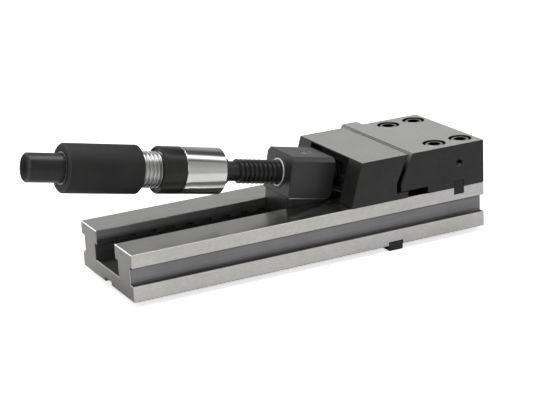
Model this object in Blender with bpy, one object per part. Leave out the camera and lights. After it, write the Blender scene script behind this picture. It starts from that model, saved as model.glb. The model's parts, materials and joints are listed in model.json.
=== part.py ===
# Hydraulic machine vise. A slotted rail carries a bolted fixed jaw and a movable
# jaw with a pull-down insert. An inclined power spindle works in a quick-setting nut.
# Metres. X runs along the rail towards the fixed jaw and Z is up.

from math import cos, pi, radians, sin, tan, tau

import bmesh
import bpy
from mathutils import Matrix, Vector

# Room between pieces that bear on each other, and how far a cut runs past a face
FIT = 0.0003
OVERRUN = 0.002
CUT_ROOM = 0.0003

# Rail
RAIL_LENGTH = 0.3863
RAIL_WIDTH = 0.125
RAIL_HEIGHT = 0.0464
CHANNEL_WIDTH = 0.0452
UNDERCUT_WIDTH = 0.057
CHANNEL_FLOOR = 0.0155
LEDGE_UNDERSIDE = 0.032
SIDE_GROOVE_BOTTOM = 0.0155
SIDE_GROOVE_TOP = 0.0328
SIDE_GROOVE_DEPTH = 0.0067
RAIL_CHAMFER = 0.0007
RACK_PITCH = 0.020
RACK_NOTCHES = 12
RACK_NOTCH_LENGTH = 0.010
RACK_NOTCH_DEPTH = 0.004
RACK_START = 0.017
DRAIN_HOLE = 0.008
DRAIN_STATION = 0.022

# Keys between the rail and the machine table
TABLE_KEY_WIDTH = 0.016
TABLE_KEY_LENGTH = 0.028
TABLE_KEY_SUNK = 0.0041
TABLE_KEY_PROUD = 0.0053
TABLE_KEY_STATION = 0.2813
END_SLOT_LENGTH = 0.070
TABLE_KEY_SCREW = 0.005
TABLE_KEY_SCREW_LENGTH = 0.014

# Fixed jaw
JAW_HEIGHT = 0.0441
FIXED_JAW_LENGTH = 0.0665
JAW_CHAMFER = 0.0006
JAW_SCREW = 0.012
JAW_SCREW_LENGTH = 0.060
JAW_SCREW_SPREAD = 0.0872
JAW_SCREW_SPACING = 0.0308
JAW_SCREW_END_GAP = 0.0158
COUNTERBORE_WIDTH = 0.0235
JAW_SCREW_SUNK = 0.0008
JAW_KEY_WIDTH = 0.0114
JAW_KEY_END_GAP = 0.0244
JAW_KEY_ABOVE = 0.0067
JAW_KEY_BELOW = 0.007
STOP_HOLE = 0.0074
STOP_HOLE_DEPTH = 0.014
STOP_HOLE_END_GAP = 0.0295
STOP_HOLE_HEIGHT = 0.0248

# Movable jaw
MOVABLE_TOP_LENGTH = 0.052
FRONT_SLANT = radians(17)
WEDGE_SLANT = radians(24.8)
WEDGE_GAP = 0.005
KNEE_HEIGHT = 0.0156
FOOT_THICKNESS = 0.0062
FOOT_LENGTH = 0.0132
POCKET_WIDTH = 0.076
POCKET_LIP = 0.001

# Pull-down insert, its guide screws and springs
INSERT_TOP_LENGTH = 0.0172
INSERT_LUG = 0.013
INSERT_STROKE = 0.0035
INSERT_PLAY = 0.0004
GUIDE_SCREW = 0.008
GUIDE_SCREW_SPREAD = 0.090
GUIDE_SCREW_HEIGHT = 0.0256
GUIDE_SCREW_GRIP = 0.012
GUIDE_SPRING_WIRE = 0.0012
GUIDE_SPRING_RECESS = 0.003
GUIDE_SPRING_TURNS = 3

# Keeper under the ledges
KEEPER_LENGTH = 0.044
KEEPER_WING_HEIGHT = 0.0125
KEEPER_END_GAP = 0.002
KEEPER_SCREW = 0.008
KEEPER_SCREW_SPREAD = 0.024
KEEPER_SCREW_LENGTH = 0.034
KEEPER_SCREW_END_GAP = 0.024
KEEPER_SCREW_SUNK = 0.001

# Spindle axis and nut
TILT = radians(11.1)
SPINDLE_HEIGHT = 0.0309
NUT_TO_JAW = 0.0595
NUT_LENGTH = 0.0485
NUT_WIDTH = 0.054
NUT_HEIGHT = 0.0415
NUT_TOP_CHAMFER = 0.004
NUT_CHAMFER = 0.001
NUT_HEEL = 0.009
STEM_START = 0.0045
STEM_LENGTH = 0.034
STEM_SIDE_ROOM = 0.0005
STEM_FLOOR_GAP = 0.0015
LUG_DROP = 0.004
TOOTH_LENGTH = 0.009
TOOTH_DROP = 0.0005
BUSH_WALL = 0.003
BUSH_ROOM = 0.0004
RING_PROUD = 0.0010
RING_WALL = 0.0016
LOCK_SCREW = 0.008
LOCK_RECESS = 0.0155
LOCK_RECESS_DEPTH = 0.0025
LOCK_STATION = 0.0266

# Threaded spindle
THREAD_SHOWN = 0.0469
THREAD_WIDTH = 0.024
THREAD_PITCH = 0.005
THREAD_DEPTH = 0.0025
THREAD_SHARES = (0, 0.37, 0.5, 0.87)
THREAD_SEGMENTS = 14
THREAD_LEAD_IN = 0.002
THREAD_EMBED = 0.004
SCREW_OVERHANG = 0.012
NECK_LENGTH = 0.0119
NECK_WIDTH = 0.0195
FLANGE_LENGTH = 0.008
FLANGE_WIDTH = 0.026
SPIGOT_WIDTH = 0.022
NOSE_LENGTH = 0.006
NOSE_WIDTH = 0.014
ROD_WIDTH = 0.010
BORE_ROOM = 0.0006

# Thrust cup, washer, seat and retainer
WASHER_THICKNESS = 0.0015
WASHER_WIDTH = 0.023
CUP_WIDTH = 0.024
CUP_ROOM = 0.0004
ROD_PLAY = 0.002
CUP_FLOOR = 0.0045
COLLAR_WIDTH = 0.028
COLLAR_LENGTH = 0.0045
SEAT_WIDTH = 0.028
SEAT_THICKNESS = 0.005
RETAINER_WIDTH = 0.060
RETAINER_RISE = 0.020
RETAINER_DROP = 0.0125
RETAINER_LIP = 0.0042
RETAINER_PLAY = 0.0023
RETAINER_SCREW = 0.005
RETAINER_SCREW_SPREAD = 0.046
RETAINER_SCREW_LENGTH = 0.018

# Power cylinder
CYLINDER_LENGTH = 0.0419
CYLINDER_WIDTH = 0.0454
CYLINDER_CHAMFER = 0.0012
CYLINDER_FLOOR = 0.010
CHAMBER_WIDTH = 0.034
RING_LENGTH = 0.0235
RING_WIDTH = 0.0456
RING_RECESS = 0.0025
RING_LIP = 0.0030
TUBE_SHOWN = 0.0196
TUBE_WIDTH = 0.035
TUBE_PITCH = 0.004
TUBE_THREAD_DEPTH = 0.0013
TUBE_THREAD_HIDDEN = 0.006
TUBE_SPIGOT = 0.0087
SLEEVE_LENGTH = 0.076
SLEEVE_WIDTH = 0.0467
SLEEVE_CHAMFER = 0.0018
SLEEVE_END_WALL = 0.0058
STUB_SHOWN = 0.0349
STUB_WIDTH = 0.0276
STUB_CHAMFER = 0.0016
STUB_RING_WALL = 0.0014
STUB_RING_THICKNESS = 0.0012
SOCKET_ACROSS = 0.014
SOCKET_DEPTH = 0.016
FILLER_SCREW = 0.005
FILLER_SCREW_LENGTH = 0.0045
FILLER_SUNK = 0.0006

# Clutch between stub and tube
CLUTCH_FLANGE_LENGTH = 0.012
CLUTCH_SPRING_THICKNESS = 0.0012
CLUTCH_SPRING_COUNT = 2
CLUTCH_BALL = 0.005
CLUTCH_BALL_COUNT = 6
CLUTCH_BALL_CIRCLE = 0.0262
CLUTCH_POCKET_DEPTH = 0.0022
CLUTCH_GROOVE_DEPTH = 0.0012
POWER_SCREW_WIDTH = 0.012

# Plunger, piston and return spring
PLUNGER_WIDTH = 0.018
PLUNGER_LENGTH = 0.038
PLUNGER_STROKE = 0.00525
OIL_GAP = 0.004
PLUNGER_HOLE_END = 0.009
PISTON_LENGTH = 0.010
SEAL_LENGTH = 0.0025
SEAL_WALL = 0.0019
SEAL_END_GAP = 0.003
ROD_SOCKET = 0.005
RETURN_SPRING_WIRE = 0.0018
RETURN_SPRING_TURNS = 2.5

# Screw heads and round pieces
HEAD_WIDTH_SHARE = 1.5
HEAD_SOCKET_SHARE = 0.86
HEAD_SOCKET_DEPTH_SHARE = 0.55
HEAD_CHAMFER = 0.0006
SCREW_SEGMENTS = 12
HEEL_SEGMENTS = 5
ROUND_SEGMENTS = 32
SMALL_SEGMENTS = 18
COIL_SEGMENTS = 12
WIRE_SEGMENTS = 5
BALL_SEGMENTS = 8
SIDES = ((-1, "near"), (1, "far"))
HEXAGON = 6

GROUND = ((0.62, 0.62, 0.60), 1.0, 0.34)
BLACK = ((0.035, 0.035, 0.034), 0.6, 0.48)
POLISHED = ((0.78, 0.78, 0.77), 1.0, 0.12)
BRIGHT = ((0.70, 0.70, 0.68), 1.0, 0.28)
DARK_STEEL = ((0.11, 0.11, 0.11), 0.9, 0.40)
BRONZE = ((0.55, 0.38, 0.18), 1.0, 0.36)
RUBBER = ((0.02, 0.02, 0.02), 0.0, 0.70)


for old in list(bpy.data.objects):
    bpy.data.objects.remove(old, do_unlink=True)


# Stations along the rail, from its middle
rail_end = RAIL_LENGTH / 2
rail_start = -rail_end
rail_side = RAIL_WIDTH / 2
jaw_bottom = RAIL_HEIGHT + FIT
jaw_top = RAIL_HEIGHT + JAW_HEIGHT
fixed_face = rail_end - FIXED_JAW_LENGTH
insert_face = fixed_face - FIT
insert_bottom = RAIL_HEIGHT + FOOT_THICKNESS + INSERT_PLAY
knee = RAIL_HEIGHT + KNEE_HEIGHT
wedge_run = (jaw_top - knee) * tan(WEDGE_SLANT)
insert_top_start = insert_face - INSERT_TOP_LENGTH
insert_knee_start = insert_top_start - wedge_run
body_top_end = insert_top_start - WEDGE_GAP
body_knee_end = body_top_end - wedge_run
foot_end = body_knee_end + FOOT_LENGTH
body_top_start = body_top_end - MOVABLE_TOP_LENGTH
body_bottom_start = body_top_start - (jaw_top - jaw_bottom) * tan(FRONT_SLANT)

# Spindle frame: its x axis points down along the spindle to the jaw, from the nut's front face
spindle_frame = Matrix.Translation((body_top_start - NUT_TO_JAW, 0, RAIL_HEIGHT + SPINDLE_HEIGHT))
spindle_frame = spindle_frame @ Matrix.Rotation(TILT, 4, "Y")
thread_start = -THREAD_SHOWN
flange_front = thread_start - NECK_LENGTH
cylinder_front = flange_front - FLANGE_LENGTH
cylinder_back = cylinder_front - CYLINDER_LENGTH
ring_back = cylinder_back - RING_LENGTH
sleeve_front = ring_back - TUBE_SHOWN
sleeve_back = sleeve_front - SLEEVE_LENGTH
stub_end = sleeve_back - STUB_SHOWN
tube_front = cylinder_back + TUBE_SPIGOT
chamber_floor = cylinder_front - CYLINDER_FLOOR
sleeve_wall = sleeve_back + SLEEVE_END_WALL
spring_pack = (CLUTCH_SPRING_THICKNESS * 2 + FIT) * CLUTCH_SPRING_COUNT
clutch_back = sleeve_wall + FIT + spring_pack
clutch_front = clutch_back + CLUTCH_FLANGE_LENGTH
ball_x = clutch_front - CLUTCH_GROOVE_DEPTH + FIT + CLUTCH_BALL / 2
tube_back = ball_x + CLUTCH_BALL / 2 + FIT - CLUTCH_POCKET_DEPTH
plunger_end = tube_front - PLUNGER_STROKE - OIL_GAP
plunger_start = plunger_end - PLUNGER_LENGTH
plunger_hole_end = plunger_end - PLUNGER_HOLE_END
screw_end = NUT_LENGTH + SCREW_OVERHANG
nose_end = screw_end + NOSE_LENGTH
washer_start = screw_end + FIT
cup_start = washer_start + WASHER_THICKNESS + FIT
cup_floor = nose_end + ROD_PLAY
cup_end = cup_floor + CUP_FLOOR
pocket_wall = cup_end + FIT
thread_root = THREAD_WIDTH / 2 - THREAD_DEPTH
rod_bore = ROD_WIDTH / 2 + FIT
nut_bore = THREAD_WIDTH / 2 + BUSH_ROOM
bush_radius = nut_bore + BUSH_WALL
chamber_radius = CHAMBER_WIDTH / 2
tube_radius = TUBE_WIDTH / 2
tube_bore = PLUNGER_WIDTH / 2 + FIT
sleeve_bore = tube_radius + FIT
stub_radius = STUB_WIDTH / 2


def finish(name, tone):
    colour, metallic, roughness = tone
    surface = bpy.data.materials.new(name)
    surface.use_nodes = True
    shader = surface.node_tree.nodes["Principled BSDF"]
    shader.inputs["Base Color"].default_value = (*colour, 1)
    shader.inputs["Metallic"].default_value = metallic
    shader.inputs["Roughness"].default_value = roughness
    surface.diffuse_color = (*colour, 1)
    return surface


def add_object(name, bm, tone=None, frame=None, smooth=False):
    """Turns the bmesh into an object; one without a tone is a hidden cutter."""
    bmesh.ops.recalc_face_normals(bm, faces=bm.faces)
    mesh = bpy.data.meshes.new(name)
    bm.to_mesh(mesh)
    bm.free()
    if smooth:
        mesh.shade_smooth()
        mesh.set_sharp_from_angle(angle=radians(35))
    made = bpy.data.objects.new(name, mesh)
    bpy.context.scene.collection.objects.link(made)
    if tone:
        mesh.materials.append(finish(name, tone))
    else:
        made.hide_render = True
        made.display_type = "WIRE"
    if frame is spindle_frame:
        made.parent = spindle_home
    elif frame:
        made.parent = frame
        made.matrix_parent_inverse = frame.matrix_world.inverted()
    return made


def add_home(name, place):
    """An empty on the axis along which the pieces below it move."""
    home = bpy.data.objects.new(name, None)
    home.empty_display_size = RACK_PITCH
    home.matrix_world = place
    bpy.context.scene.collection.objects.link(home)
    return home


def combine(target, tool, operation="DIFFERENCE"):
    step = target.modifiers.new(operation.title(), "BOOLEAN")
    step.operation = operation
    step.solver = "EXACT"
    step.object = tool


def chamfer(target, width, angle=30, keep_sharp=None):
    """Chamfers every edge sharper than the angle, except those that lie in the plane x = keep_sharp."""
    step = target.modifiers.new("Chamfer", "BEVEL")
    step.width = width
    step.segments = 1
    if keep_sharp is None:
        step.limit_method = "ANGLE"
        step.angle_limit = radians(angle)
        return
    step.limit_method = "WEIGHT"
    mesh = target.data
    weights = mesh.attributes.new("bevel_weight_edge", "FLOAT", "EDGE")
    for edge in mesh.edges:
        away = max(abs(mesh.vertices[i].co.x - keep_sharp) for i in edge.vertices)
        weights.data[edge.index].value = float(away > FIT)


def add_prism(bm, outline, low, high):
    """A solid of the outline, given as (x, z) points, between two y values."""
    near = [bm.verts.new((x, low, z)) for x, z in outline]
    far = [bm.verts.new((x, high, z)) for x, z in outline]
    bm.faces.new(near)
    bm.faces.new(reversed(far))
    for i in range(len(outline)):
        j = (i + 1) % len(outline)
        bm.faces.new((near[i], far[i], far[j], near[j]))


def add_section(bm, outline, start, end):
    """A solid of the outline, given as (y, z) points, between two x values."""
    first = [bm.verts.new((start, y, z)) for y, z in outline]
    last = [bm.verts.new((end, y, z)) for y, z in outline]
    bm.faces.new(first)
    bm.faces.new(reversed(last))
    for i in range(len(outline)):
        j = (i + 1) % len(outline)
        bm.faces.new((first[i], last[i], last[j], first[j]))


def add_box(bm, x_span, y_span, z_span):
    x0, x1 = x_span
    z0, z1 = z_span
    add_prism(bm, [(x0, z0), (x1, z0), (x1, z1), (x0, z1)], *y_span)


def add_turned(bm, profile, segments=ROUND_SEGMENTS, place=Matrix(), hollow=False):
    """A solid of revolution about x. Each profile entry is (x, radius) or (x, radius, sides),
    where sides makes that ring a polygon of the given circumradius."""
    rings = []
    for x, radius, *sides in profile:
        if radius == 0:
            rings.append([bm.verts.new(place @ Vector((x, 0, 0)))])
            continue
        ring = []
        for i in range(segments):
            turn = tau * i / segments
            reach = radius
            if sides:
                corner = tau / sides[0]
                reach = radius * cos(corner / 2) / cos(turn % corner - corner / 2)
            ring.append(bm.verts.new(place @ Vector((x, reach * cos(turn), reach * sin(turn)))))
        rings.append(ring)
    pairs = list(zip(rings, rings[1:]))
    if hollow:
        pairs.append((rings[-1], rings[0]))
    for one, other in pairs:
        for i in range(segments):
            j = (i + 1) % segments
            corners = [one[i % len(one)], one[j % len(one)], other[j % len(other)], other[i % len(other)]]
            bm.faces.new(list(dict.fromkeys(corners)))


def add_thread(bm, start, end, crest, root, pitch, segments=THREAD_SEGMENTS):
    """A helical thread on a solid core. The rows of the grid climb one pitch per turn."""
    rows = int((end - start) / pitch) + 1
    levels = [(row + share) * pitch for row in range(rows + 1) for share in THREAD_SHARES]
    radii = [crest, crest, root, root] * (rows + 1)
    turn_rows = len(THREAD_SHARES)
    grid = []
    for i in range(segments):
        turn = tau * i / segments
        climb = pitch * i / segments
        column = []
        for level, radius in zip(levels, radii):
            column.append(bm.verts.new((start + level + climb, radius * cos(turn), radius * sin(turn))))
        grid.append(column)
    count = len(levels)
    for i in range(segments):
        for row in range(count - 1):
            if i + 1 < segments:
                right = grid[i + 1][row:row + 2]
            elif row + turn_rows + 1 < count:
                right = grid[0][row + turn_rows:row + turn_rows + 2]
            else:
                continue
            bm.faces.new((grid[i][row], right[0], right[1], grid[i][row + 1]))
    seam_low = grid[0][:turn_rows + 1]
    low_rim = [column[0] for column in grid[1:]] + list(reversed(seam_low))
    last = grid[segments - 1]
    seam_high = last[count - 1 - turn_rows:count]
    high_rim = [column[-1] for column in grid[:-1]] + list(reversed(seam_high))
    for rim, x in ((low_rim, start), (high_rim, start + levels[-1] + pitch)):
        hub = bm.verts.new((x, 0, 0))
        for i in range(len(rim)):
            bm.faces.new((rim[i], rim[(i + 1) % len(rim)], hub))


def add_coil(bm, start, end, radius, wire, turns, place=Matrix()):
    """A coil spring about x with flat cut ends."""
    steps = int(turns * COIL_SEGMENTS)
    rise = (end - start - wire) / steps
    loops = []
    for i in range(steps + 1):
        turn = tau * i / COIL_SEGMENTS
        loop = []
        for k in range(WIRE_SEGMENTS):
            part = tau * k / WIRE_SEGMENTS
            reach = radius + wire / 2 * cos(part)
            x = start + wire / 2 + rise * i + wire / 2 * sin(part)
            loop.append(bm.verts.new(place @ Vector((x, reach * cos(turn), reach * sin(turn)))))
        loops.append(loop)
    for one, other in zip(loops, loops[1:]):
        for k in range(WIRE_SEGMENTS):
            n = (k + 1) % WIRE_SEGMENTS
            bm.faces.new((one[k], one[n], other[n], other[k]))
    bm.faces.new(reversed(loops[0]))
    bm.faces.new(loops[-1])


def screw_head(diameter):
    return diameter * HEAD_WIDTH_SHARE / 2


def add_cap_screw(name, place, diameter, length, frame=None):
    """A socket cap screw along x: its head ends at x zero and its shank runs to plus x."""
    bm = bmesh.new()
    head = screw_head(diameter)
    socket = diameter * HEAD_SOCKET_SHARE / 2 / cos(pi / HEXAGON)
    depth = diameter * HEAD_SOCKET_DEPTH_SHARE
    shank = diameter / 2
    profile = [
        (depth, 0),
        (depth, socket, HEXAGON),
        (0, socket, HEXAGON),
        (0, head - HEAD_CHAMFER),
        (HEAD_CHAMFER, head),
        (diameter, head),
        (diameter, shank),
        (length - HEAD_CHAMFER, shank),
        (length, shank - HEAD_CHAMFER),
        (length, 0),
    ]
    add_turned(bm, profile, SCREW_SEGMENTS, place)
    add_object(name, bm, BLACK, frame, smooth=True)


def pointing(x, y, z, turn, axis):
    """A place at the point, with x turned to face along the screw."""
    return Matrix.Translation((x, y, z)) @ Matrix.Rotation(turn, 4, axis)


def washer_profile(start, end, inner, outer):
    return [(start, inner), (start, outer), (end, outer), (end, inner)]


def add_rod(bm, start, end, radius, segments=ROUND_SEGMENTS, place=Matrix()):
    add_turned(bm, [(start, 0), (start, radius), (end, radius), (end, 0)], segments, place)


spindle_home = add_home("spindle_home", spindle_frame)
carriage_home = add_home("carriage_home", Matrix.Translation((spindle_frame.translation.x, 0, jaw_bottom)))
jaw_home = add_home("jaw_home", Matrix.Translation((body_top_start, 0, jaw_bottom)))
insert_home = add_home("insert_home", Matrix.Translation((insert_face, 0, RAIL_HEIGHT + GUIDE_SCREW_HEIGHT)))

DOWN = (radians(90), "Y")
UP = (radians(-90), "Y")


# Base rail: its cross-section, then notches, slots and holes
def rail_outline():
    inner = rail_side - SIDE_GROOVE_DEPTH
    right = [
        (rail_side, 0),
        (rail_side, SIDE_GROOVE_BOTTOM),
        (inner, SIDE_GROOVE_BOTTOM),
        (inner, SIDE_GROOVE_TOP),
        (rail_side, SIDE_GROOVE_TOP),
        (rail_side, RAIL_HEIGHT),
        (CHANNEL_WIDTH / 2, RAIL_HEIGHT),
        (CHANNEL_WIDTH / 2, LEDGE_UNDERSIDE),
        (UNDERCUT_WIDTH / 2, LEDGE_UNDERSIDE),
        (UNDERCUT_WIDTH / 2, CHANNEL_FLOOR),
    ]
    return right + [(-y, z) for y, z in reversed(right)]


bm = bmesh.new()
add_section(bm, rail_outline(), rail_start, rail_end)
base_rail = add_object("base_rail", bm, GROUND)
chamfer(base_rail, RAIL_CHAMFER)

bm = bmesh.new()
notch_inner = CHANNEL_WIDTH / 2 - OVERRUN
notch_outer = UNDERCUT_WIDTH / 2 + OVERRUN
for side in (-1, 1):
    for i in range(RACK_NOTCHES):
        middle = rail_start + RACK_START + RACK_PITCH * i
        reach = sorted((side * notch_inner, side * notch_outer))
        half = RACK_NOTCH_LENGTH / 2
        notch_floor = LEDGE_UNDERSIDE - OVERRUN
        add_box(bm, (middle - half, middle + half), reach, (notch_floor, LEDGE_UNDERSIDE + RACK_NOTCH_DEPTH))
combine(base_rail, add_object("cut_rack", bm))

bm = bmesh.new()
key_middle = rail_start + TABLE_KEY_STATION
key_half = TABLE_KEY_WIDTH / 2 + CUT_ROOM
key_slot_top = TABLE_KEY_SUNK + FIT
add_box(bm, (key_middle - key_half, key_middle + key_half),
        (-rail_side - OVERRUN, rail_side + OVERRUN), (-OVERRUN, key_slot_top))
for start, end in ((rail_start - OVERRUN, rail_start + END_SLOT_LENGTH),
                   (rail_end - END_SLOT_LENGTH, rail_end + OVERRUN)):
    add_box(bm, (start, end), (-key_half, key_half), (-OVERRUN, key_slot_top))
combine(base_rail, add_object("cut_key_slots", bm))

bm = bmesh.new()
drain = DRAIN_HOLE / 2
add_rod(bm, -CHANNEL_FLOOR - OVERRUN, OVERRUN, drain, SMALL_SEGMENTS,
        pointing(rail_start + DRAIN_STATION, 0, 0, *DOWN))
jaw_screws = []
for side in (-1, 1):
    for step in (0, 1):
        x = rail_end - JAW_SCREW_END_GAP - JAW_SCREW_SPACING * step
        jaw_screws.append((x, side * JAW_SCREW_SPREAD / 2))
screw_top = jaw_top - JAW_SCREW_SUNK
for x, y in jaw_screws:
    tip = screw_top - JAW_SCREW_LENGTH - CUT_ROOM
    place = pointing(x, y, tip, *UP)
    add_rod(bm, 0, RAIL_HEIGHT + OVERRUN - tip, JAW_SCREW / 2 + CUT_ROOM, SMALL_SEGMENTS, place)
key_screw_y = rail_side - TABLE_KEY_LENGTH / 2
for side in (-1, 1):
    place = pointing(key_middle, side * key_screw_y, 0, *UP)
    reach = TABLE_KEY_SCREW_LENGTH - TABLE_KEY_PROUD + OVERRUN
    add_rod(bm, 0, reach, TABLE_KEY_SCREW / 2 + CUT_ROOM, SMALL_SEGMENTS, place)
combine(base_rail, add_object("cut_rail_holes", bm))

bm = bmesh.new()
jaw_key_start = rail_end - JAW_KEY_END_GAP - JAW_KEY_WIDTH
jaw_key_end = rail_end - JAW_KEY_END_GAP
jaw_key_bottom = RAIL_HEIGHT - JAW_KEY_BELOW
jaw_key_top = RAIL_HEIGHT + JAW_KEY_ABOVE
add_box(bm, (jaw_key_start - CUT_ROOM, jaw_key_end + CUT_ROOM), (-rail_side - OVERRUN, rail_side + OVERRUN),
        (jaw_key_bottom - CUT_ROOM, jaw_key_top + CUT_ROOM))
cut_jaw_key = add_object("cut_jaw_key", bm)
combine(base_rail, cut_jaw_key)

# Table keys and their screws
for side, label in SIDES:
    bm = bmesh.new()
    reach = sorted((side * rail_side, side * (rail_side - TABLE_KEY_LENGTH)))
    add_box(bm, (key_middle - TABLE_KEY_WIDTH / 2, key_middle + TABLE_KEY_WIDTH / 2), reach,
            (-TABLE_KEY_PROUD, TABLE_KEY_SUNK))
    table_key = add_object("table_key_" + label, bm, BLACK)
    chamfer(table_key, RAIL_CHAMFER)
    bm = bmesh.new()
    place = pointing(key_middle, side * key_screw_y, -TABLE_KEY_PROUD, *UP)
    head = screw_head(TABLE_KEY_SCREW) + CUT_ROOM
    shank = TABLE_KEY_SCREW / 2 + CUT_ROOM
    seat = TABLE_KEY_SCREW + HEAD_CHAMFER
    top = TABLE_KEY_SUNK + TABLE_KEY_PROUD + OVERRUN
    add_turned(bm, [(-OVERRUN, 0), (-OVERRUN, head), (seat, head), (seat, shank), (top, shank), (top, 0)],
               SMALL_SEGMENTS, place)
    combine(table_key, add_object("cut_key_hole_" + label, bm))
    place = pointing(key_middle, side * key_screw_y, HEAD_CHAMFER / 2 - TABLE_KEY_PROUD, *UP)
    add_cap_screw("table_key_screw_" + label, place, TABLE_KEY_SCREW, TABLE_KEY_SCREW_LENGTH)

# Fixed jaw with its cap screws and cross key
bm = bmesh.new()
add_box(bm, (fixed_face, rail_end), (-rail_side, rail_side), (jaw_bottom, jaw_top))
fixed_jaw = add_object("fixed_jaw", bm, BLACK)
chamfer(fixed_jaw, JAW_CHAMFER, keep_sharp=fixed_face)
combine(fixed_jaw, cut_jaw_key)
bm = bmesh.new()
for x, y in jaw_screws:
    seat = screw_top - JAW_SCREW - FIT
    bore = COUNTERBORE_WIDTH / 2
    shank = JAW_SCREW / 2 + CUT_ROOM
    low = jaw_bottom - OVERRUN - seat
    high = jaw_top + OVERRUN - seat
    add_turned(bm, [(low, 0), (low, shank), (0, shank), (0, bore), (high, bore), (high, 0)],
               ROUND_SEGMENTS, pointing(x, y, seat, *UP))
stop_place = pointing(rail_end - STOP_HOLE_END_GAP, -rail_side - OVERRUN, RAIL_HEIGHT + STOP_HOLE_HEIGHT,
                      radians(90), "Z")
add_rod(bm, 0, STOP_HOLE_DEPTH + OVERRUN, STOP_HOLE / 2, SMALL_SEGMENTS, stop_place)
combine(fixed_jaw, add_object("cut_jaw_holes", bm))
for number, (x, y) in enumerate(jaw_screws, 1):
    place = pointing(x, y, screw_top, *DOWN)
    add_cap_screw(f"fixed_jaw_screw_{number}", place, JAW_SCREW, JAW_SCREW_LENGTH)
bm = bmesh.new()
add_box(bm, (jaw_key_start, jaw_key_end), (-rail_side, rail_side), (jaw_key_bottom, jaw_key_top))
chamfer(add_object("fixed_jaw_key", bm, BLACK), RAIL_CHAMFER / 2)

# Movable jaw: slanted block with a foot, a pocket for the spindle and a wedge face
jaw_outline = [
    (body_bottom_start, jaw_bottom),
    (foot_end, jaw_bottom),
    (foot_end, RAIL_HEIGHT + FOOT_THICKNESS),
    (body_knee_end, RAIL_HEIGHT + FOOT_THICKNESS),
    (body_knee_end, knee),
    (body_top_end, jaw_top),
    (body_top_start, jaw_top),
]
bm = bmesh.new()
add_prism(bm, jaw_outline, -rail_side, rail_side)
movable_jaw = add_object("movable_jaw", bm, BLACK, jaw_home)
chamfer(movable_jaw, JAW_CHAMFER, 12)


def in_spindle(along, across):
    """World x and z of a point in the spindle's upright plane."""
    point = spindle_frame @ Vector((along, 0, across))
    return point.x, point.z


def wall_x(z, along):
    """World x of the plane square to the spindle, at height z."""
    x, height = in_spindle(along, 0)
    return x + (z - height) * tan(TILT)


bm = bmesh.new()
low = jaw_bottom - OVERRUN
outside = body_bottom_start - OVERRUN
lip = spindle_frame.inverted() @ Vector((body_top_start, 0, jaw_top - POCKET_LIP))
outside_roof = in_spindle(lip.x - (body_top_start - outside) / cos(TILT), lip.z)
add_prism(bm, [(outside, low), (wall_x(low, pocket_wall), low), in_spindle(pocket_wall, lip.z), outside_roof],
          -POCKET_WIDTH / 2, POCKET_WIDTH / 2)
combine(movable_jaw, add_object("cut_pocket", bm, frame=jaw_home))

bm = bmesh.new()
seat_depth = SEAT_THICKNESS + FIT
add_rod(bm, pocket_wall - OVERRUN, pocket_wall + seat_depth, SEAT_WIDTH / 2 + CUT_ROOM)
retainer_head = pocket_wall - FIT - COLLAR_LENGTH - FIT - RETAINER_LIP
retainer_tip = retainer_head - RETAINER_SCREW + RETAINER_SCREW_LENGTH
for side in (-1, 1):
    place = Matrix.Translation((0, side * RETAINER_SCREW_SPREAD / 2, 0))
    add_rod(bm, pocket_wall - OVERRUN, retainer_tip + CUT_ROOM, RETAINER_SCREW / 2 + CUT_ROOM,
            SMALL_SEGMENTS, place)
combine(movable_jaw, add_object("cut_seat", bm, frame=spindle_frame))

guide_z = RAIL_HEIGHT + GUIDE_SCREW_HEIGHT
guide_wall = body_knee_end + (guide_z - knee) * tan(WEDGE_SLANT)
guide_tip = guide_wall - GUIDE_SCREW_GRIP
spring_radius = GUIDE_SCREW / 2 + GUIDE_SPRING_WIRE + FIT
spring_seat = guide_wall - GUIDE_SPRING_RECESS
keeper_screw_x = foot_end - KEEPER_SCREW_END_GAP
keeper_bottom = LEDGE_UNDERSIDE - FIT - KEEPER_WING_HEIGHT
keeper_screw_z = keeper_bottom + KEEPER_SCREW_SUNK
bm = bmesh.new()
for side in (-1, 1):
    place = pointing(0, side * GUIDE_SCREW_SPREAD / 2, guide_z, 0, "X")
    past = body_top_end + OVERRUN
    shank = GUIDE_SCREW / 2 + CUT_ROOM
    bore = spring_radius + GUIDE_SPRING_WIRE
    add_turned(bm, [(guide_tip - CUT_ROOM, 0), (guide_tip - CUT_ROOM, shank), (spring_seat, shank),
                    (spring_seat, bore), (past, bore), (past, 0)], SMALL_SEGMENTS, place)
    place = pointing(keeper_screw_x, side * KEEPER_SCREW_SPREAD / 2, keeper_screw_z, *UP)
    add_rod(bm, 0, KEEPER_SCREW_LENGTH + CUT_ROOM, KEEPER_SCREW / 2 + CUT_ROOM, SMALL_SEGMENTS, place)
combine(movable_jaw, add_object("cut_jaw_screws", bm, frame=jaw_home))

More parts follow.
